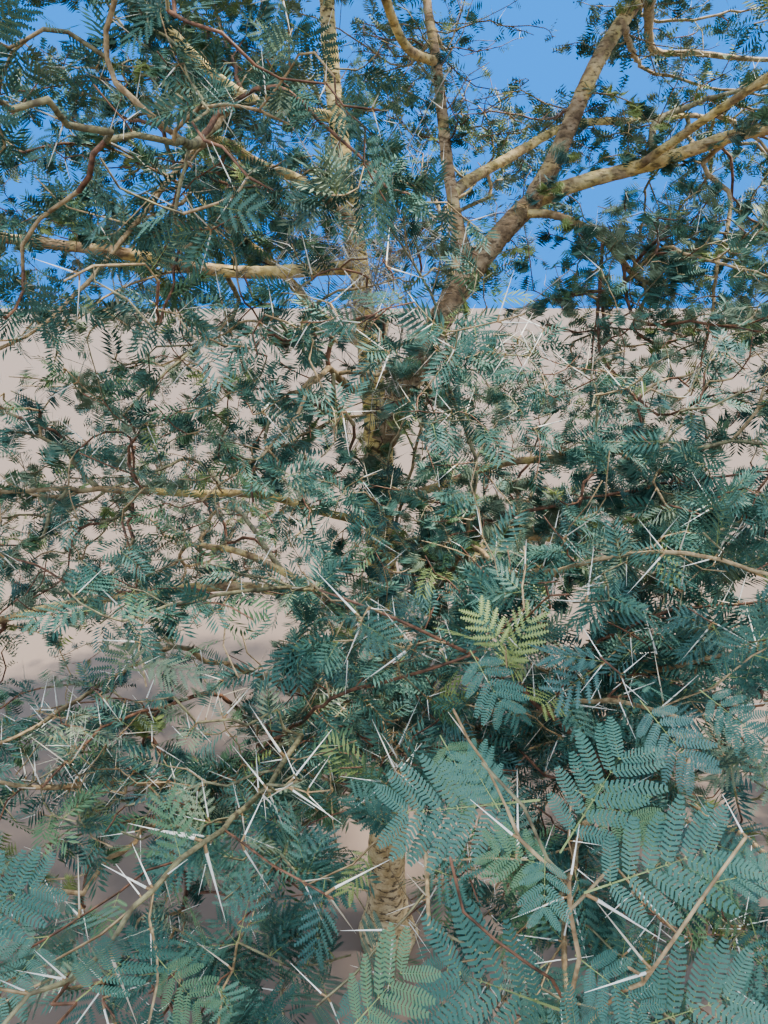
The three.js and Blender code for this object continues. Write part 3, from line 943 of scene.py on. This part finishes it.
# How many twigs grow in a cubic metre of a mass, and how far apart they end
DENSITY = {
    "core": (1600, 0.05),
    "core_right": (1500, 0.05),
    "core_left": (1300, 0.05),
    "inner_right": (1200, 0.05),
    "front_left": (400, 0.085),
    "front_right": (900, 0.07),
    "upper_front": (560, 0.08),
    "low_front_right": (700, 0.06),
    "low_front_left": (480, 0.07),
    "left": (680, 0.07),
    "right": (600, 0.07),
    "back": (650, 0.07),
    "low_back_right": (700, 0.07),
    "low_back_left": (700, 0.065),
    "low_left": (620, 0.07),
    "upper_right": (800, 0.065),
    "upper_back": (700, 0.07),
    "upper_left": (860, 0.067),
}
USUAL_DENSITY = (420, 0.095)
SPINE_REACH, SPINE_BEND = 0.35, 0.02  # how far past a mass's middle its first branch goes
NOT_FEEDERS = ("trunk", "right_bough")


def fill_masses():
    """A first branch for each mass from the nearest limb's tip, and twigs from that all through the mass."""
    tips = {name: line[-1] for name, line in limb_points.items() if name not in NOT_FEEDERS}
    for node, centre in mass_centres.items():
        feeder = min(tips, key=lambda name: np.linalg.norm(tips[name] - centre))
        line = limb_points[feeder]
        start, ahead = line[-1], unit(line[-1] - line[-6])
        way = wander(start, centre + (centre - start) * SPINE_REACH, ahead, SPINE_BEND)
        spine = add_branch(way, None, 0, in_mass=True, cap=limb_radii[feeder][-1])
        per_m3, spacing = DENSITY.get(node.removeprefix("foliage_"), USUAL_DENSITY)
        attach(inside_targets(node, int(mass_volumes[node] * per_m3), spacing), spine)


def add_loads():
    """Counts what grows past each point of every branch."""
    for branch in reversed(branches):
        branch.load[-1] += 1
        branch.load = np.cumsum(branch.load[::-1])[::-1]
        if branch.parent is not None:
            branch.parent.load[branch.at] += branch.load[0]


TIP_RADIUS, THINNEST = 0.00105, 0.0009
LENGTH_LOAD, LOAD_POWER, OF_PARENT = 0.35, 0.44, 0.85
LEAST_TAPER, LEAST_TAPER_POWER, MOST_TAPER = 0.18, 0.8, 0.35  # of a branch whose radius at its root is given
CLOSE_DEPTH, CLOSE_VIEW = 1.45, (-100, 870, -100, 1120)
CLOSE_THICKEST, CLOSE_FROM = 0.0037, 3  # the most for a mass's twigs seen close, and from which point on


def set_radii():
    """Each branch gets thinner with what it still bears, and is thinner than its parent."""
    for branch in branches:
        n = len(branch.points)
        r = TIP_RADIUS * (branch.load + LENGTH_LOAD * np.arange(n)[::-1] / 3) ** LOAD_POWER
        if branch.cap is not None:
            r = np.maximum(r, branch.cap * np.linspace(1, LEAST_TAPER, n) ** LEAST_TAPER_POWER)
            r = np.minimum(r, branch.cap * np.linspace(1.0, MOST_TAPER, n))
        if branch.parent is not None:
            r = np.minimum(r, branch.parent.radii[branch.at] * OF_PARENT)
        u, v, depth = seen_at(branch.points[n // 2])
        if branch.in_mass and 0 < depth < CLOSE_DEPTH and within(u, v, CLOSE_VIEW):
            narrowing = 1 + (np.maximum(0, 1 - np.arange(n) / CLOSE_FROM) if branch.parent is None else 0)
            r = np.minimum(r, CLOSE_THICKEST * narrowing)
        branch.radii = np.maximum(r, THINNEST)


FINE_DEPTH, FINE_VIEW = 1.3, (-150, 920, -100, 1150)
STOUT, SLIM, PLAIN_THICK, PLAINEST_THICK = 0.003, 0.0013, 0.0022, 0.0017  # radii at which twigs get plainer
RED_THINNER, RED_SHARE, TAN_SHARE = 0.006, 0.35, 0.6


def make_twigs():
    """Tubes of all the branches, those near the camera apart."""
    near_twigs, far_twigs = Batch(), Batch()
    for branch in branches:
        points, radii = branch.points, branch.radii
        thick = radii[0]
        u, v, depth = seen_at(points[len(points) // 2])
        close = 0 < depth < FINE_DEPTH and within(u, v, FINE_VIEW)
        if thick > STOUT:
            sides = 7 if close else 5
        else:
            sides = 4 if close and thick > SLIM else 3
        if not close and thick < PLAIN_THICK and len(points) > 4:
            last = len(points) - 1
            keep = np.r_[0 : last : 2 if thick > PLAINEST_THICK else 3, last]
            points, radii = points[keep], radii[keep]
        if rng.random() < (RED_SHARE if thick < RED_THINNER else 0.0):
            look = RED_BROWN
        else:
            look = TAN if rng.random() < TAN_SHARE else GREEN_GREY
        if branch.leafy == 0:
            look = DEAD_GREY
        (near_twigs if close else far_twigs).add(*tube(points, radii, sides), look)
    return near_twigs, far_twigs


# Leaf templates: along +X, flat in XY, drooping a little towards -Z
PETIOLE = 0.011
RACHIS, RACHIS_PAIRS, CROSS_RACHIS = 0.068, 6, 0.066  # the middle rib's length with so many pairs of feathers
FEATHER = 0.036
RIB_WIDE, FEATHER_RIB_WIDE, BLADE_WIDE = 0.00075, 0.00032, 0.0034
LEAFLET, LEAFLET_LEAN = 0.0055, 0.42
CROSS_BACK = {"cross": 0.0012, "tiny": 0.005, "broad": 0.006}  # how far back a face of two feathers starts
CROSS_LEAN, CROSS_TURN = 86, {"cross": 6, "tiny": 9, "broad": 6}
FEATHER_LEAN, FEATHER_TURN = 66, 26
TINY_SIZE = 0.75
DROOPS, SIDE_DROOP = (0.5, 2.2), 1.4  # how a leaf bends down along it, and how much more across it


class LeafShape:
    """A twice-feathered leaf in the making: corners, faces, and which faces are ribs."""

    def __init__(self, seed):
        self.pick = np.random.default_rng(seed)
        self.verts, self.tris, self.ribs = [], [], []
        self.droop = self.pick.uniform(*DROOPS)

    def fall(self, p):
        return np.array([p[0], p[1], p[2] - self.droop * p[0] ** 2 - SIDE_DROOP * self.droop * p[1] ** 2])

    def add(self, corners, faces, rib):
        base = len(self.verts)
        self.verts.extend(corners)
        self.tris.extend([tuple(base + i for i in face) for face in faces])
        self.ribs.extend([rib] * len(faces))

    def rib(self, a, b, width):
        a, b = self.fall(a), self.fall(b)
        side = unit(np.cross(unit(b - a), UP)) * width
        self.add([a - side, a + side, b], [(0, 1, 2)], True)

    def blade(self, *corners):
        """A flat blade of three or four corners."""
        self.add([self.fall(p) for p in corners], [(0, 1, 2), (0, 2, 3)][: len(corners) - 2], False)

    def crossed_feathers(self, x, share, size, style):
        """Both feathers of a pair in one face."""
        lean = math.radians(CROSS_LEAN - CROSS_TURN[style] * share + self.pick.uniform(-2.5, 2.5))
        size *= TINY_SIZE if style == "tiny" else 1
        tips = []
        for side in (-1, 1):
            lift = self.pick.uniform(-0.15, 0.15) * size
            tips.append((x + math.cos(lean) * size, side * math.sin(lean) * size, lift))
        self.blade((x - CROSS_BACK[style], 0, 0), *tips)

    def feather(self, root, ahead, out, size, leaflets, style):
        """A side feather: one whole blade, or a rib and leaflets with square ends (oblong) or points."""
        end = root + ahead * size
        if style == "blade":
            middle, wide = root + ahead * size * 0.5, out * BLADE_WIDE
            self.blade(root, middle - wide, end, middle + wide)
            return
        self.rib(root, end, FEATHER_RIB_WIDE)
        oblong = style == "oblong"
        for j in range(leaflets):
            s = (j + 0.9) / (leaflets + 0.6)
            place = root + ahead * size * s
            long = LEAFLET * min(1, 0.62 + 1.5 * s, 0.28 + 2.3 * (1 - s))
            half = ahead * (size / leaflets * (0.34 if oblong else 0.48))
            for way in (-1, 1):
                tip = place + out * way * long + ahead * long * LEAFLET_LEAN
                self.blade(place - half, place + half, *([tip + half * 0.6, tip - half] if oblong else [tip]))


def leaf_shape(pairs, leaflets, style, seed):
    """A leaf's corners, faces and ribs."""
    leaf = LeafShape(seed)
    crossed = style in CROSS_BACK
    rachis = CROSS_RACHIS if crossed else RACHIS * pairs / RACHIS_PAIRS
    if not crossed:
        leaf.rib((0, 0, 0), (PETIOLE + rachis, 0, 0), RIB_WIDE)
    for k in range(pairs):
        share = k / (pairs - 1)
        x = PETIOLE + rachis * (0.1 + 0.9 * share)
        swell = 0.72 + 0.5 * math.sin(math.pi * (0.12 + 0.72 * share))
        size = FEATHER * swell * leaf.pick.uniform(0.9, 1.06)
        if crossed:
            leaf.crossed_feathers(x, share, size, style)
            continue
        lean = math.radians(FEATHER_LEAN - FEATHER_TURN * share + leaf.pick.uniform(-4, 4))
        for side in (-1, 1):
            ahead = np.array([math.cos(lean), side * math.sin(lean), leaf.pick.uniform(-0.12, 0.12)])
            out = np.array([-ahead[1], ahead[0], 0]) * side
            leaf.feather(np.array([x, 0, 0]), ahead, out, size, leaflets, style)
    return np.array(leaf.verts), np.array(leaf.tris), np.array(leaf.ribs)


FINEST_PAIRS = (5, 6, 7)
LEAF_KINDS = {
    "finest": [leaf_shape(p, 13, "oblong", 11 + p) for p in FINEST_PAIRS],
    "fine": [leaf_shape(p, 9, "tooth", 21 + p) for p in (4, 5, 6, 7)],
    "feather": [leaf_shape(p, 0, "blade", 31 + p) for p in (6, 7, 8)],
    "plain": [leaf_shape(p, 0, "cross", 41 + p) for p in (6, 7, 8)],
    "small": [leaf_shape(4, 0, "tiny", 61 + i) for i in range(4)],
    "far": [leaf_shape(4, 0, "broad", 51 + i) for i in range(3)],
}

# Where the camera sees it, each kind of leaf up to a depth: leaves at a node, least and greatest size
KIND_RULES = [
    ("finest", 0.58, 1.8, 0.45, 0.8),
    ("fine", 0.78, 1.75, 0.38, 0.7),
    ("feather", 1.1, 2.4, 0.3, 0.54),
    ("plain", 1.7, 7.2, 0.22, 0.41),
    ("small", 2.5, 6.0, 0.25, 0.42),
    ("small", 4.6, 4.2, 0.38, 0.62),
]
FAR_RULE = ("far", 0, 1.35, 0.58, 0.98)
sprays = {kind: [] for kind in LEAF_KINDS}  # for each leaf its template's number, matrix rows, place and tint

# Thorns: how often a pair stands at a node, up to a depth ahead of the camera, further off and out of sight
THORN_RATES = [(1.1, 0.3), (1.7, 0.25)]
SHOWN_RATE, HIDDEN_RATE = 0.14, 0.08
SHORT_THORN, LONG_THORN, SHORT_SHARE = (0.02, 0.052), (0.045, 0.068), 0.7
THORN_STOUT, VIEW_THORN_STOUT, THORN_THINNEST, THORN_POINT = 0.02, 0.025, 0.0007, 0.00012
THORN_FOOT, THORN_END, THORN_BOW = 0.13, 0.98, 0.02  # shares of its length
FOOT_NARROWING = 0.9
THORN_SIDES = 5
DULL_CLOSE, DULL_FAR = 0.25, 0.5
thorns = Batch()


def add_thorn(place, direction, long, close, stout=THORN_STOUT):
    """A thorn: round with a dark foot if it is close, or a plain three-sided point."""
    if not in_box(place + direction * long, LEAF_OVERHANG):
        return
    wide = max(THORN_THINNEST, long * stout)
    bow = unit(np.cross(direction, rng.normal(0, 1, 3))) * long * THORN_BOW
    middle = place + direction * long * THORN_FOOT + bow
    end = place + direction * long * THORN_END
    if close:
        points, radii = np.array([place, middle, end]), np.array([wide, wide * FOOT_NARROWING, THORN_POINT])
        verts, tris = tube(points, radii, THORN_SIDES)
        shaft = DULL if rng.random() < DULL_CLOSE else IVORY
        thorns.add(verts, tris, np.where(tris.min(axis=1) < THORN_SIDES, FOOT, shaft))
        return
    side = unit(np.cross(direction, UP + 0.01)) * wide
    over = unit(np.cross(direction, side)) * wide
    verts = np.array([place + side, place - side * 0.5 + over * 0.87, place - side * 0.5 - over * 0.87, end])
    thorns.add(verts, [(0, 1, 3), (1, 2, 3), (2, 0, 3)], IVORY if rng.random() < DULL_FAR else DULL)


# The thorns that show best: pixel column and row of foot and of tip, and how much deeper the tip lies (mm).
# Each foot is moved to the nearest twig that the view crosses there.
VIEW_THORNS = [
    (285, 755, 247, 700, -6), (285, 755, 258, 760, 20), (292, 754, 273, 777, -10),
    (326, 731, 355, 748, 5), (326, 731, 340, 709, -5), (204, 844, 126, 825, 4), (207, 851, 229, 933, -8),
    (152, 885, 130, 838, 0), (149, 885, 96, 859, 12), (108, 944, 138, 1026, -4), (73, 975, 18, 964, 6),
    (73, 975, 37, 944, -10), (32, 993, -4, 976, 4), (260, 799, 256, 753, 10), (284, 805, 250, 772, 4),
    (147, 751, 180, 770, 0), (147, 751, 147, 731, 12), (97, 728, 93, 701, 3), (119, 723, 122, 704, 5),
    (69, 740, 65, 713, 0), (115, 731, 117, 750, 0), (23, 780, 17, 743, -4), (37, 778, 34, 743, 2),
    (52, 780, 51, 760, 5), (70, 698, 55, 684, 0), (45, 716, 28, 696, 4), (185, 727, 181, 709, 0),
    (219, 798, 214, 758, 0), (196, 784, 193, 819, 0), (196, 784, 185, 795, 8), (180, 752, 167, 739, 0),
    (257, 987, 220, 958, 5), (521, 836, 471, 796, 4), (584, 897, 666, 946, -3), (587, 693, 562, 647, 5),
    (476, 718, 455, 690, 3), (401, 756, 384, 729, 2), (663, 663, 648, 610, 4), (663, 663, 640, 655, 12),
    (631, 649, 676, 645, 5), (576, 885, 587, 826, 8), (541, 940, 493, 929, 4), (761, 836, 737, 792, 4),
    (541, 699, 539, 655, 0), (546, 760, 552, 728, 0), (610, 799, 661, 773, 5), (722, 707, 768, 703, 5),
    (545, 567, 499, 541, 0), (589, 553, 568, 524, 4), (517, 574, 518, 545, 0), (519, 606, 509, 630, 0),
    (551, 574, 538, 621, 4), (470, 541, 464, 510, 0), (465, 543, 453, 536, 5), (622, 564, 622, 590, 0),
    (608, 577, 583, 594, 4), (729, 599, 690, 591, 0), (738, 597, 747, 564, 4), (456, 440, 438, 460, 0),
    (562, 455, 536, 435, 0), (511, 463, 501, 453, 2), (545, 531, 550, 510, 0),
]
FOOT_REACH, DEPTH_COST = 34.0, 40  # pixels, and pixels for each metre that a twig is further off
THORN_NEAREST, THORN_FURTHEST = 0.3, 1.5


def add_view_thorns():
    """The thorns that show best, each at the nearest twig."""
    places = np.concatenate([b.points for b in branches if not b.in_mass])
    columns, rows, depths = seen_at(places)
    for foot_u, foot_v, tip_u, tip_v, deeper in VIEW_THORNS:
        gaps = np.hypot(columns - foot_u, rows - foot_v) + DEPTH_COST * depths
        gaps[(depths < THORN_NEAREST) | (depths > THORN_FURTHEST)] = np.inf
        nearest = int(np.argmin(gaps))
        over, down = columns[nearest] - foot_u, rows[nearest] - foot_v
        if np.hypot(over, down) > FOOT_REACH:
            continue
        place = places[nearest]
        tip = from_view(tip_u + over, tip_v + down, depths[nearest] + deeper / 1000)
        add_thorn(place, unit(tip - place), np.linalg.norm(tip - place), True, VIEW_THORN_STOUT)
        keep_in_view(np.array([place, tip]))


# Single leaves near the camera: pixel column and row of foot and of tip, depth of both, and which template
VIEW_LEAVES = [
    (584, 893, 702, 850, 0.435, 0.42, 1), (560, 853, 619, 755, 0.45, 0.47, 1),
    (540, 800, 405, 812, 0.5, 0.52, 2), (560, 1010, 470, 975, 0.47, 0.44, 0),
    (545, 850, 545, 905, 0.42, 0.4, 0), (600, 1040, 720, 1000, 0.46, 0.42, 2),
    (575, 955, 640, 1005, 0.46, 0.44, 0), (345, 1035, 395, 975, 0.44, 0.43, 0),
    (560, 870, 500, 850, 0.45, 0.46, 0), (575, 790, 640, 820, 0.52, 0.5, 1),
    (500, 812, 470, 760, 0.48, 0.5, 0), (640, 700, 690, 760, 0.6, 0.57, 1),
    (440, 735, 470, 790, 0.62, 0.58, 1), (700, 690, 755, 730, 0.6, 0.58, 1),
    (470, 650, 500, 700, 0.62, 0.6, 0),
]


def add_view_leaves():
    """The leaves that the photo shows singly."""
    for foot_u, foot_v, tip_u, tip_v, near, far, number in VIEW_LEAVES:
        place, tip = from_view(foot_u, foot_v, near), from_view(tip_u, tip_v, far)
        out = unit(tip - place)
        normal = unit(unit(CAMERA_PLACE - place) + UP * 0.35 + rng.normal(0, 0.1, 3))
        normal = unit(normal - out * (normal @ out))
        pairs = FINEST_PAIRS[number]
        size = np.linalg.norm(tip - place) / (RACHIS * pairs / RACHIS_PAIRS + PETIOLE)
        rows = np.stack([out, np.cross(normal, out), normal], 1) * size
        sprays["finest"].append((number, rows, place, int(rng.choice(VIEW_LEAF_TINTS))))


# Where the photo shows bark or light through the leaves: middle column and row, half width and half height of
# an oval, and what share of the leaves is kept there
VIEW_GAPS = [
    (336, 62, 18, 66, 0.04), (352, 275, 22, 56, 0.15), (392, 282, 46, 36, 0.3), (384, 415, 13, 24, 0.2),
    (500, 232, 34, 36, 0.3), (478, 80, 30, 36, 0.15), (505, 30, 36, 26, 0.35), (660, 218, 70, 26, 0.45),
    (650, 372, 120, 50, 0.5), (130, 288, 28, 20, 0.3), (172, 185, 22, 18, 0.4), (130, 512, 60, 26, 0.35),
    (56, 600, 50, 50, 0.75), (240, 560, 56, 34, 0.5), (66, 662, 60, 40, 0.75), (232, 672, 40, 28, 0.45),
    (30, 400, 44, 30, 0.5), (386, 885, 34, 60, 0.03), (345, 930, 30, 60, 0.7), (432, 990, 44, 36, 0.4),
    (540, 345, 50, 30, 0.5), (120, 345, 60, 22, 0.45), (215, 465, 50, 26, 0.6),
]
GAP_TOP, GAP_LEFT, GAP_WIDE, GAP_HIGH, GAP_KEPT = np.array(VIEW_GAPS).T[[1, 0, 2, 3, 4]]


# Where the photo shows leaves closest together: ovals as above, and how many times the usual leaves
VIEW_THICKETS = [
    (110, 130, 210, 170, 1.7), (650, 130, 140, 150, 1.6), (650, 560, 150, 120, 1.6),
    (545, 600, 60, 60, 1.7),
]
THICK_TOP, THICK_LEFT, THICK_WIDE, THICK_HIGH, THICK_TIMES = np.array(VIEW_THICKETS).T[[1, 0, 2, 3, 4]]
THICKET_DEPTH = 0.78
SHOWN_DEPTH = 2.6  # leaves further off than this stay, whatever the photo's gaps
OVAL_EDGE = 0.8  # over how much of an oval's inside measure it fades


def fullness(u, v):
    """How many times the usual leaves grow where the camera sees pixel (u, v)."""
    inside = ((u - THICK_LEFT) / THICK_WIDE) ** 2 + ((v - THICK_TOP) / THICK_HIGH) ** 2
    return float(np.max(1 + (THICK_TIMES - 1) * np.clip((1.4 - inside) / OVAL_EDGE, 0, 1)))


def kept_share(u, v):
    """What share of the leaves grows where the camera sees pixel (u, v)."""
    inside = ((u - GAP_LEFT) / GAP_WIDE) ** 2 + ((v - GAP_TOP) / GAP_HIGH) ** 2
    return float(np.min(GAP_KEPT + (1 - GAP_KEPT) * np.clip((inside - 0.6) / OVAL_EDGE, 0, 1)))


LEAF_REACH = 0.1


def in_front(u, v, depth):
    """Whether the camera sees a place, or one a leaf's length outside the picture's edge."""
    margin = LEAF_REACH * FOCAL / max(depth, LEAF_REACH)
    return depth > 0 and within(u, v, (-margin, 2 * HALF_WIDE + margin, -margin, 2 * HALF_HIGH + margin))


NODE_GAP = 0.03
THORNY_THICKEST, LEAFY_THICKEST = 0.0045, 0.0036  # thicker twigs bear none
THORN_ROOM, LEAF_ROOM = 0.35, 0.27  # how near the camera they grow
TINT_CHANGES = 0.3  # how often the next spray on a twig takes another tint
LEAF_MIDDLE, LEAF_LONG, LEAF_SPREAD = 0.045, 0.08, 0.05  # of a leaf of size 1, the last from its middle
GAP_NEAREST = 0.2  # leaves nearer than this stay too


def grow_thorns(place, ahead, across, close):
    """A pair of thorns at a node."""
    long = rng.uniform(*(SHORT_THORN if rng.random() < SHORT_SHARE else LONG_THORN))
    spread = unit(np.cross(ahead, across))
    for way in (-1, 1):
        direction = unit(across * 0.75 + spread * way * 0.8 + ahead * 0.2 + rng.normal(0, 0.12, 3))
        if np.linalg.norm(place - CAMERA_PLACE) > THORN_ROOM:
            add_thorn(place, direction, long * rng.uniform(0.85, 1.1), close)


def grow_leaf(place, ahead, across, kind, sizes, tint, shown):
    """One leaf at a node, unless it leaves the box, is in the camera's way or hides what the photo shows."""
    rise = rng.uniform(-0.1, 0.9)
    out = unit(across + ahead * rise + rng.normal(0, 0.35, 3) + UP * rng.uniform(-0.35, 0.3))
    normal = unit(UP * 0.8 + rng.normal(0, 0.55, 3))
    normal = unit(normal - out * (normal @ out))
    size = rng.uniform(*sizes)
    middle = place + out * LEAF_MIDDLE * size
    tip = place + out * LEAF_LONG * size
    if not in_box(middle, LEAF_OVERHANG - LEAF_SPREAD * size) or tip[2] < LOWEST_LEAF:
        return
    if np.linalg.norm(tip - CAMERA_PLACE) < LEAF_ROOM:
        return
    u, v, depth = seen_at(middle)
    if GAP_NEAREST < depth < SHOWN_DEPTH and rng.random() > kept_share(u, v):
        return
    rows = np.stack([out, np.cross(normal, out), normal], 1) * size
    net, cleared = (LEAF_NET, CLEARED_NEAR) if kind == "finest" else (LEAF_LINE, CLEARED)
    if shown and hides(place + net @ rows.T) and rng.random() < cleared:
        return
    sprays[kind].append((int(rng.integers(len(LEAF_KINDS[kind]))), rows, place, tint))


def grow_along(branch):
    """Thorns and leaves at the nodes of a branch, to alternate sides."""
    points, radii = branch.points, branch.radii
    far = lengths_along(points)
    where = NODE_GAP * rng.uniform(0.3, 1.2)
    side = rng.choice([-1, 1])
    tint = tint_at(seen_at(points[len(points) // 2])[2])
    while where < far[-1]:
        i = int(np.clip(np.searchsorted(far, where), 1, len(points) - 1))
        share = (where - far[i - 1]) / max(far[i] - far[i - 1], 1e-6)
        place = points[i - 1] + (points[i] - points[i - 1]) * share
        ahead = unit(points[i] - points[i - 1])
        where += NODE_GAP * rng.uniform(0.7, 1.3)
        side = -side
        if radii[i] > THORNY_THICKEST:
            continue
        u, v, depth = (float(x) for x in seen_at(place))
        shown = in_front(u, v, depth)
        across = unit(np.cross(ahead, UP) * side + rng.normal(0, 0.5, 3))
        rate = next((r for limit, r in THORN_RATES if depth < limit), SHOWN_RATE) if shown else HIDDEN_RATE
        if rng.random() < branch.thorny * rate:
            grow_thorns(place, ahead, across, shown and depth < THORN_RATES[0][0])
        if np.linalg.norm(place - CAMERA_PLACE) < LEAF_ROOM or radii[i] > LEAFY_THICKEST:
            continue
        rule = next((r for r in KIND_RULES if depth < r[1]), FAR_RULE) if shown else FAR_RULE
        kind, _, at_node, *sizes = rule
        if shown and THICKET_DEPTH < depth < SHOWN_DEPTH:
            at_node *= fullness(u, v)
        if rng.random() < TINT_CHANGES:
            tint = tint_at(depth)
        for _ in range(rng.poisson(at_node * branch.leafy)):
            grow_leaf(place, ahead, across, kind, sizes, tint, shown)


MOST_TRIANGLES = 190_000


def join_leaves():
    """Every leaf as a copy of its template, in batches of up to the most triangles."""
    batches = [Batch()]
    for kind, leaves in sprays.items():
        for number, (verts, tris, ribs) in enumerate(LEAF_KINDS[kind]):
            chosen = [leaf[1:] for leaf in leaves if leaf[0] == number]
            while chosen:
                room = (MOST_TRIANGLES - batches[-1].size()) // len(tris)
                if room < 1:
                    batches.append(Batch())
                    continue
                rows, places, tints = (np.array(facts) for facts in zip(*chosen[:room]))
                copies = np.einsum("nij,vj->nvi", rows, verts) + places[:, None]
                copied_tris = tris[None] + np.arange(len(rows))[:, None, None] * len(verts)
                look = np.where(ribs[None], RIB_LOOK, tints[:, None])
                batches[-1].add(copies.reshape(-1, 3), copied_tris.reshape(-1, 3), look.ravel())
                chosen = chosen[room:]
    return batches


grow_view_twigs()
grow_limb_twigs()
grow_tangle()
fill_masses()
add_loads()
set_radii()
twig_batches = make_twigs()
add_view_thorns()
for branch in branches:
    grow_along(branch)
add_view_leaves()

for i, batch in enumerate(join_leaves()):
    piece = batch.make(f"leaves_{i + 1}", leaf_looks, smooth=False)
    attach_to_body(piece, "root")
    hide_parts(*foliage_nodes)
twig_pieces = [batch.make(f"twigs_{i + 1}", twig_looks) for i, batch in enumerate(twig_batches)]
thorn_piece = thorns.make("thorns", thorn_looks)
for piece in [*twig_pieces, thorn_piece]:
    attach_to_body(piece, "root")
    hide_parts(*foliage_nodes)


# Floor, light and camera
FLOOR_HALF = 400
FLOOR_PALE, FLOOR_ROUGHNESS = (0.2, 0.151, 0.124), 0.9
AIR, AIR_STRENGTH = (0.6, 0.77, 1.0, 1), 1.62
BACKDROP, BACKDROP_STRENGTH = (0.04, 0.32, 1.0, 1), 1.25


def add_floor():
    corners = [(-FLOOR_HALF, -FLOOR_HALF, 0), (FLOOR_HALF, -FLOOR_HALF, 0)]
    corners += [(FLOOR_HALF, FLOOR_HALF, 0), (-FLOOR_HALF, FLOOR_HALF, 0)]
    floor_mesh = bpy.data.meshes.new("floor")
    floor_mesh.from_pydata(corners, [], [(0, 1, 2, 3)])
    floor = bpy.data.objects.new("floor", floor_mesh)
    bpy.context.scene.collection.objects.link(floor)
    floor_mesh.materials.append(plain_material("floor_pale", FLOOR_PALE, FLOOR_ROUGHNESS))


def add_air():
    """Soft light from all round, before a plain backdrop."""
    world = bpy.data.worlds.new("studio")
    bpy.context.scene.world = world
    world.use_nodes = True
    tree = world.node_tree
    air = tree.nodes["Background"]
    air.inputs["Color"].default_value = AIR
    air.inputs["Strength"].default_value = AIR_STRENGTH
    backdrop = tree.nodes.new("ShaderNodeBackground")
    backdrop.inputs["Color"].default_value = BACKDROP
    backdrop.inputs["Strength"].default_value = BACKDROP_STRENGTH
    seen = tree.nodes.new("ShaderNodeLightPath")
    either = tree.nodes.new("ShaderNodeMixShader")
    tree.links.new(seen.outputs["Is Camera Ray"], either.inputs["Fac"])
    tree.links.new(air.outputs["Background"], either.inputs[1])
    tree.links.new(backdrop.outputs["Background"], either.inputs[2])
    tree.links.new(either.outputs["Shader"], tree.nodes["World Output"].inputs["Surface"])


def add_light(name, kind, place, aim, power, color):
    light = bpy.data.lights.new(name, kind)
    light.energy, light.color = power, color
    lamp = bpy.data.objects.new(name, light)
    lamp.location = place
    lamp.rotation_mode = "QUATERNION"
    lamp.rotation_quaternion = (Vector(aim) - Vector(place)).to_track_quat("-Z", "Y")
    bpy.context.scene.collection.objects.link(lamp)
    return light


SUN_WIDE = 3.0  # degrees
SOFT_LIGHTS = [
    ("front_fill", (-3.0, -6.0, 5.0), (0, 0, 1.4), 150, (0.95, 0.97, 1.0), 4.0),
    ("left_fill", (-3.0, -2.2, 4.6), (-0.5, -0.2, 2.2), 75, (1.0, 0.95, 0.86), 2.5),
]


def add_lights():
    key = add_light("key", "SUN", (3.3, 0.1, 6.0), (0, 0, 0), 9.3, (1.0, 0.92, 0.78))
    key.angle = math.radians(SUN_WIDE)
    for name, place, aim, power, color, wide in SOFT_LIGHTS:
        light = add_light(name, "AREA", place, aim, power, color)
        light.shape = "DISK"
        light.size = wide


SENSOR, NEAREST_SEEN = 36.0, 0.02


def add_camera():
    camera_data = bpy.data.cameras.new("camera")
    camera_data.sensor_width = SENSOR
    camera_data.lens = SENSOR * FOCAL / (2 * HALF_HIGH)
    camera_data.clip_start = NEAREST_SEEN
    camera = bpy.data.objects.new("camera", camera_data)
    camera.location = CAMERA_PLACE
    camera.rotation_euler = (math.pi / 2 - PITCH, 0, 0)
    bpy.context.scene.collection.objects.link(camera)
    bpy.context.scene.camera = camera


add_floor()
add_air()
add_lights()
add_camera()
bpy.context.scene.view_settings.view_transform = "AgX"
bpy.context.scene.view_settings.look = "AgX - Medium High Contrast"
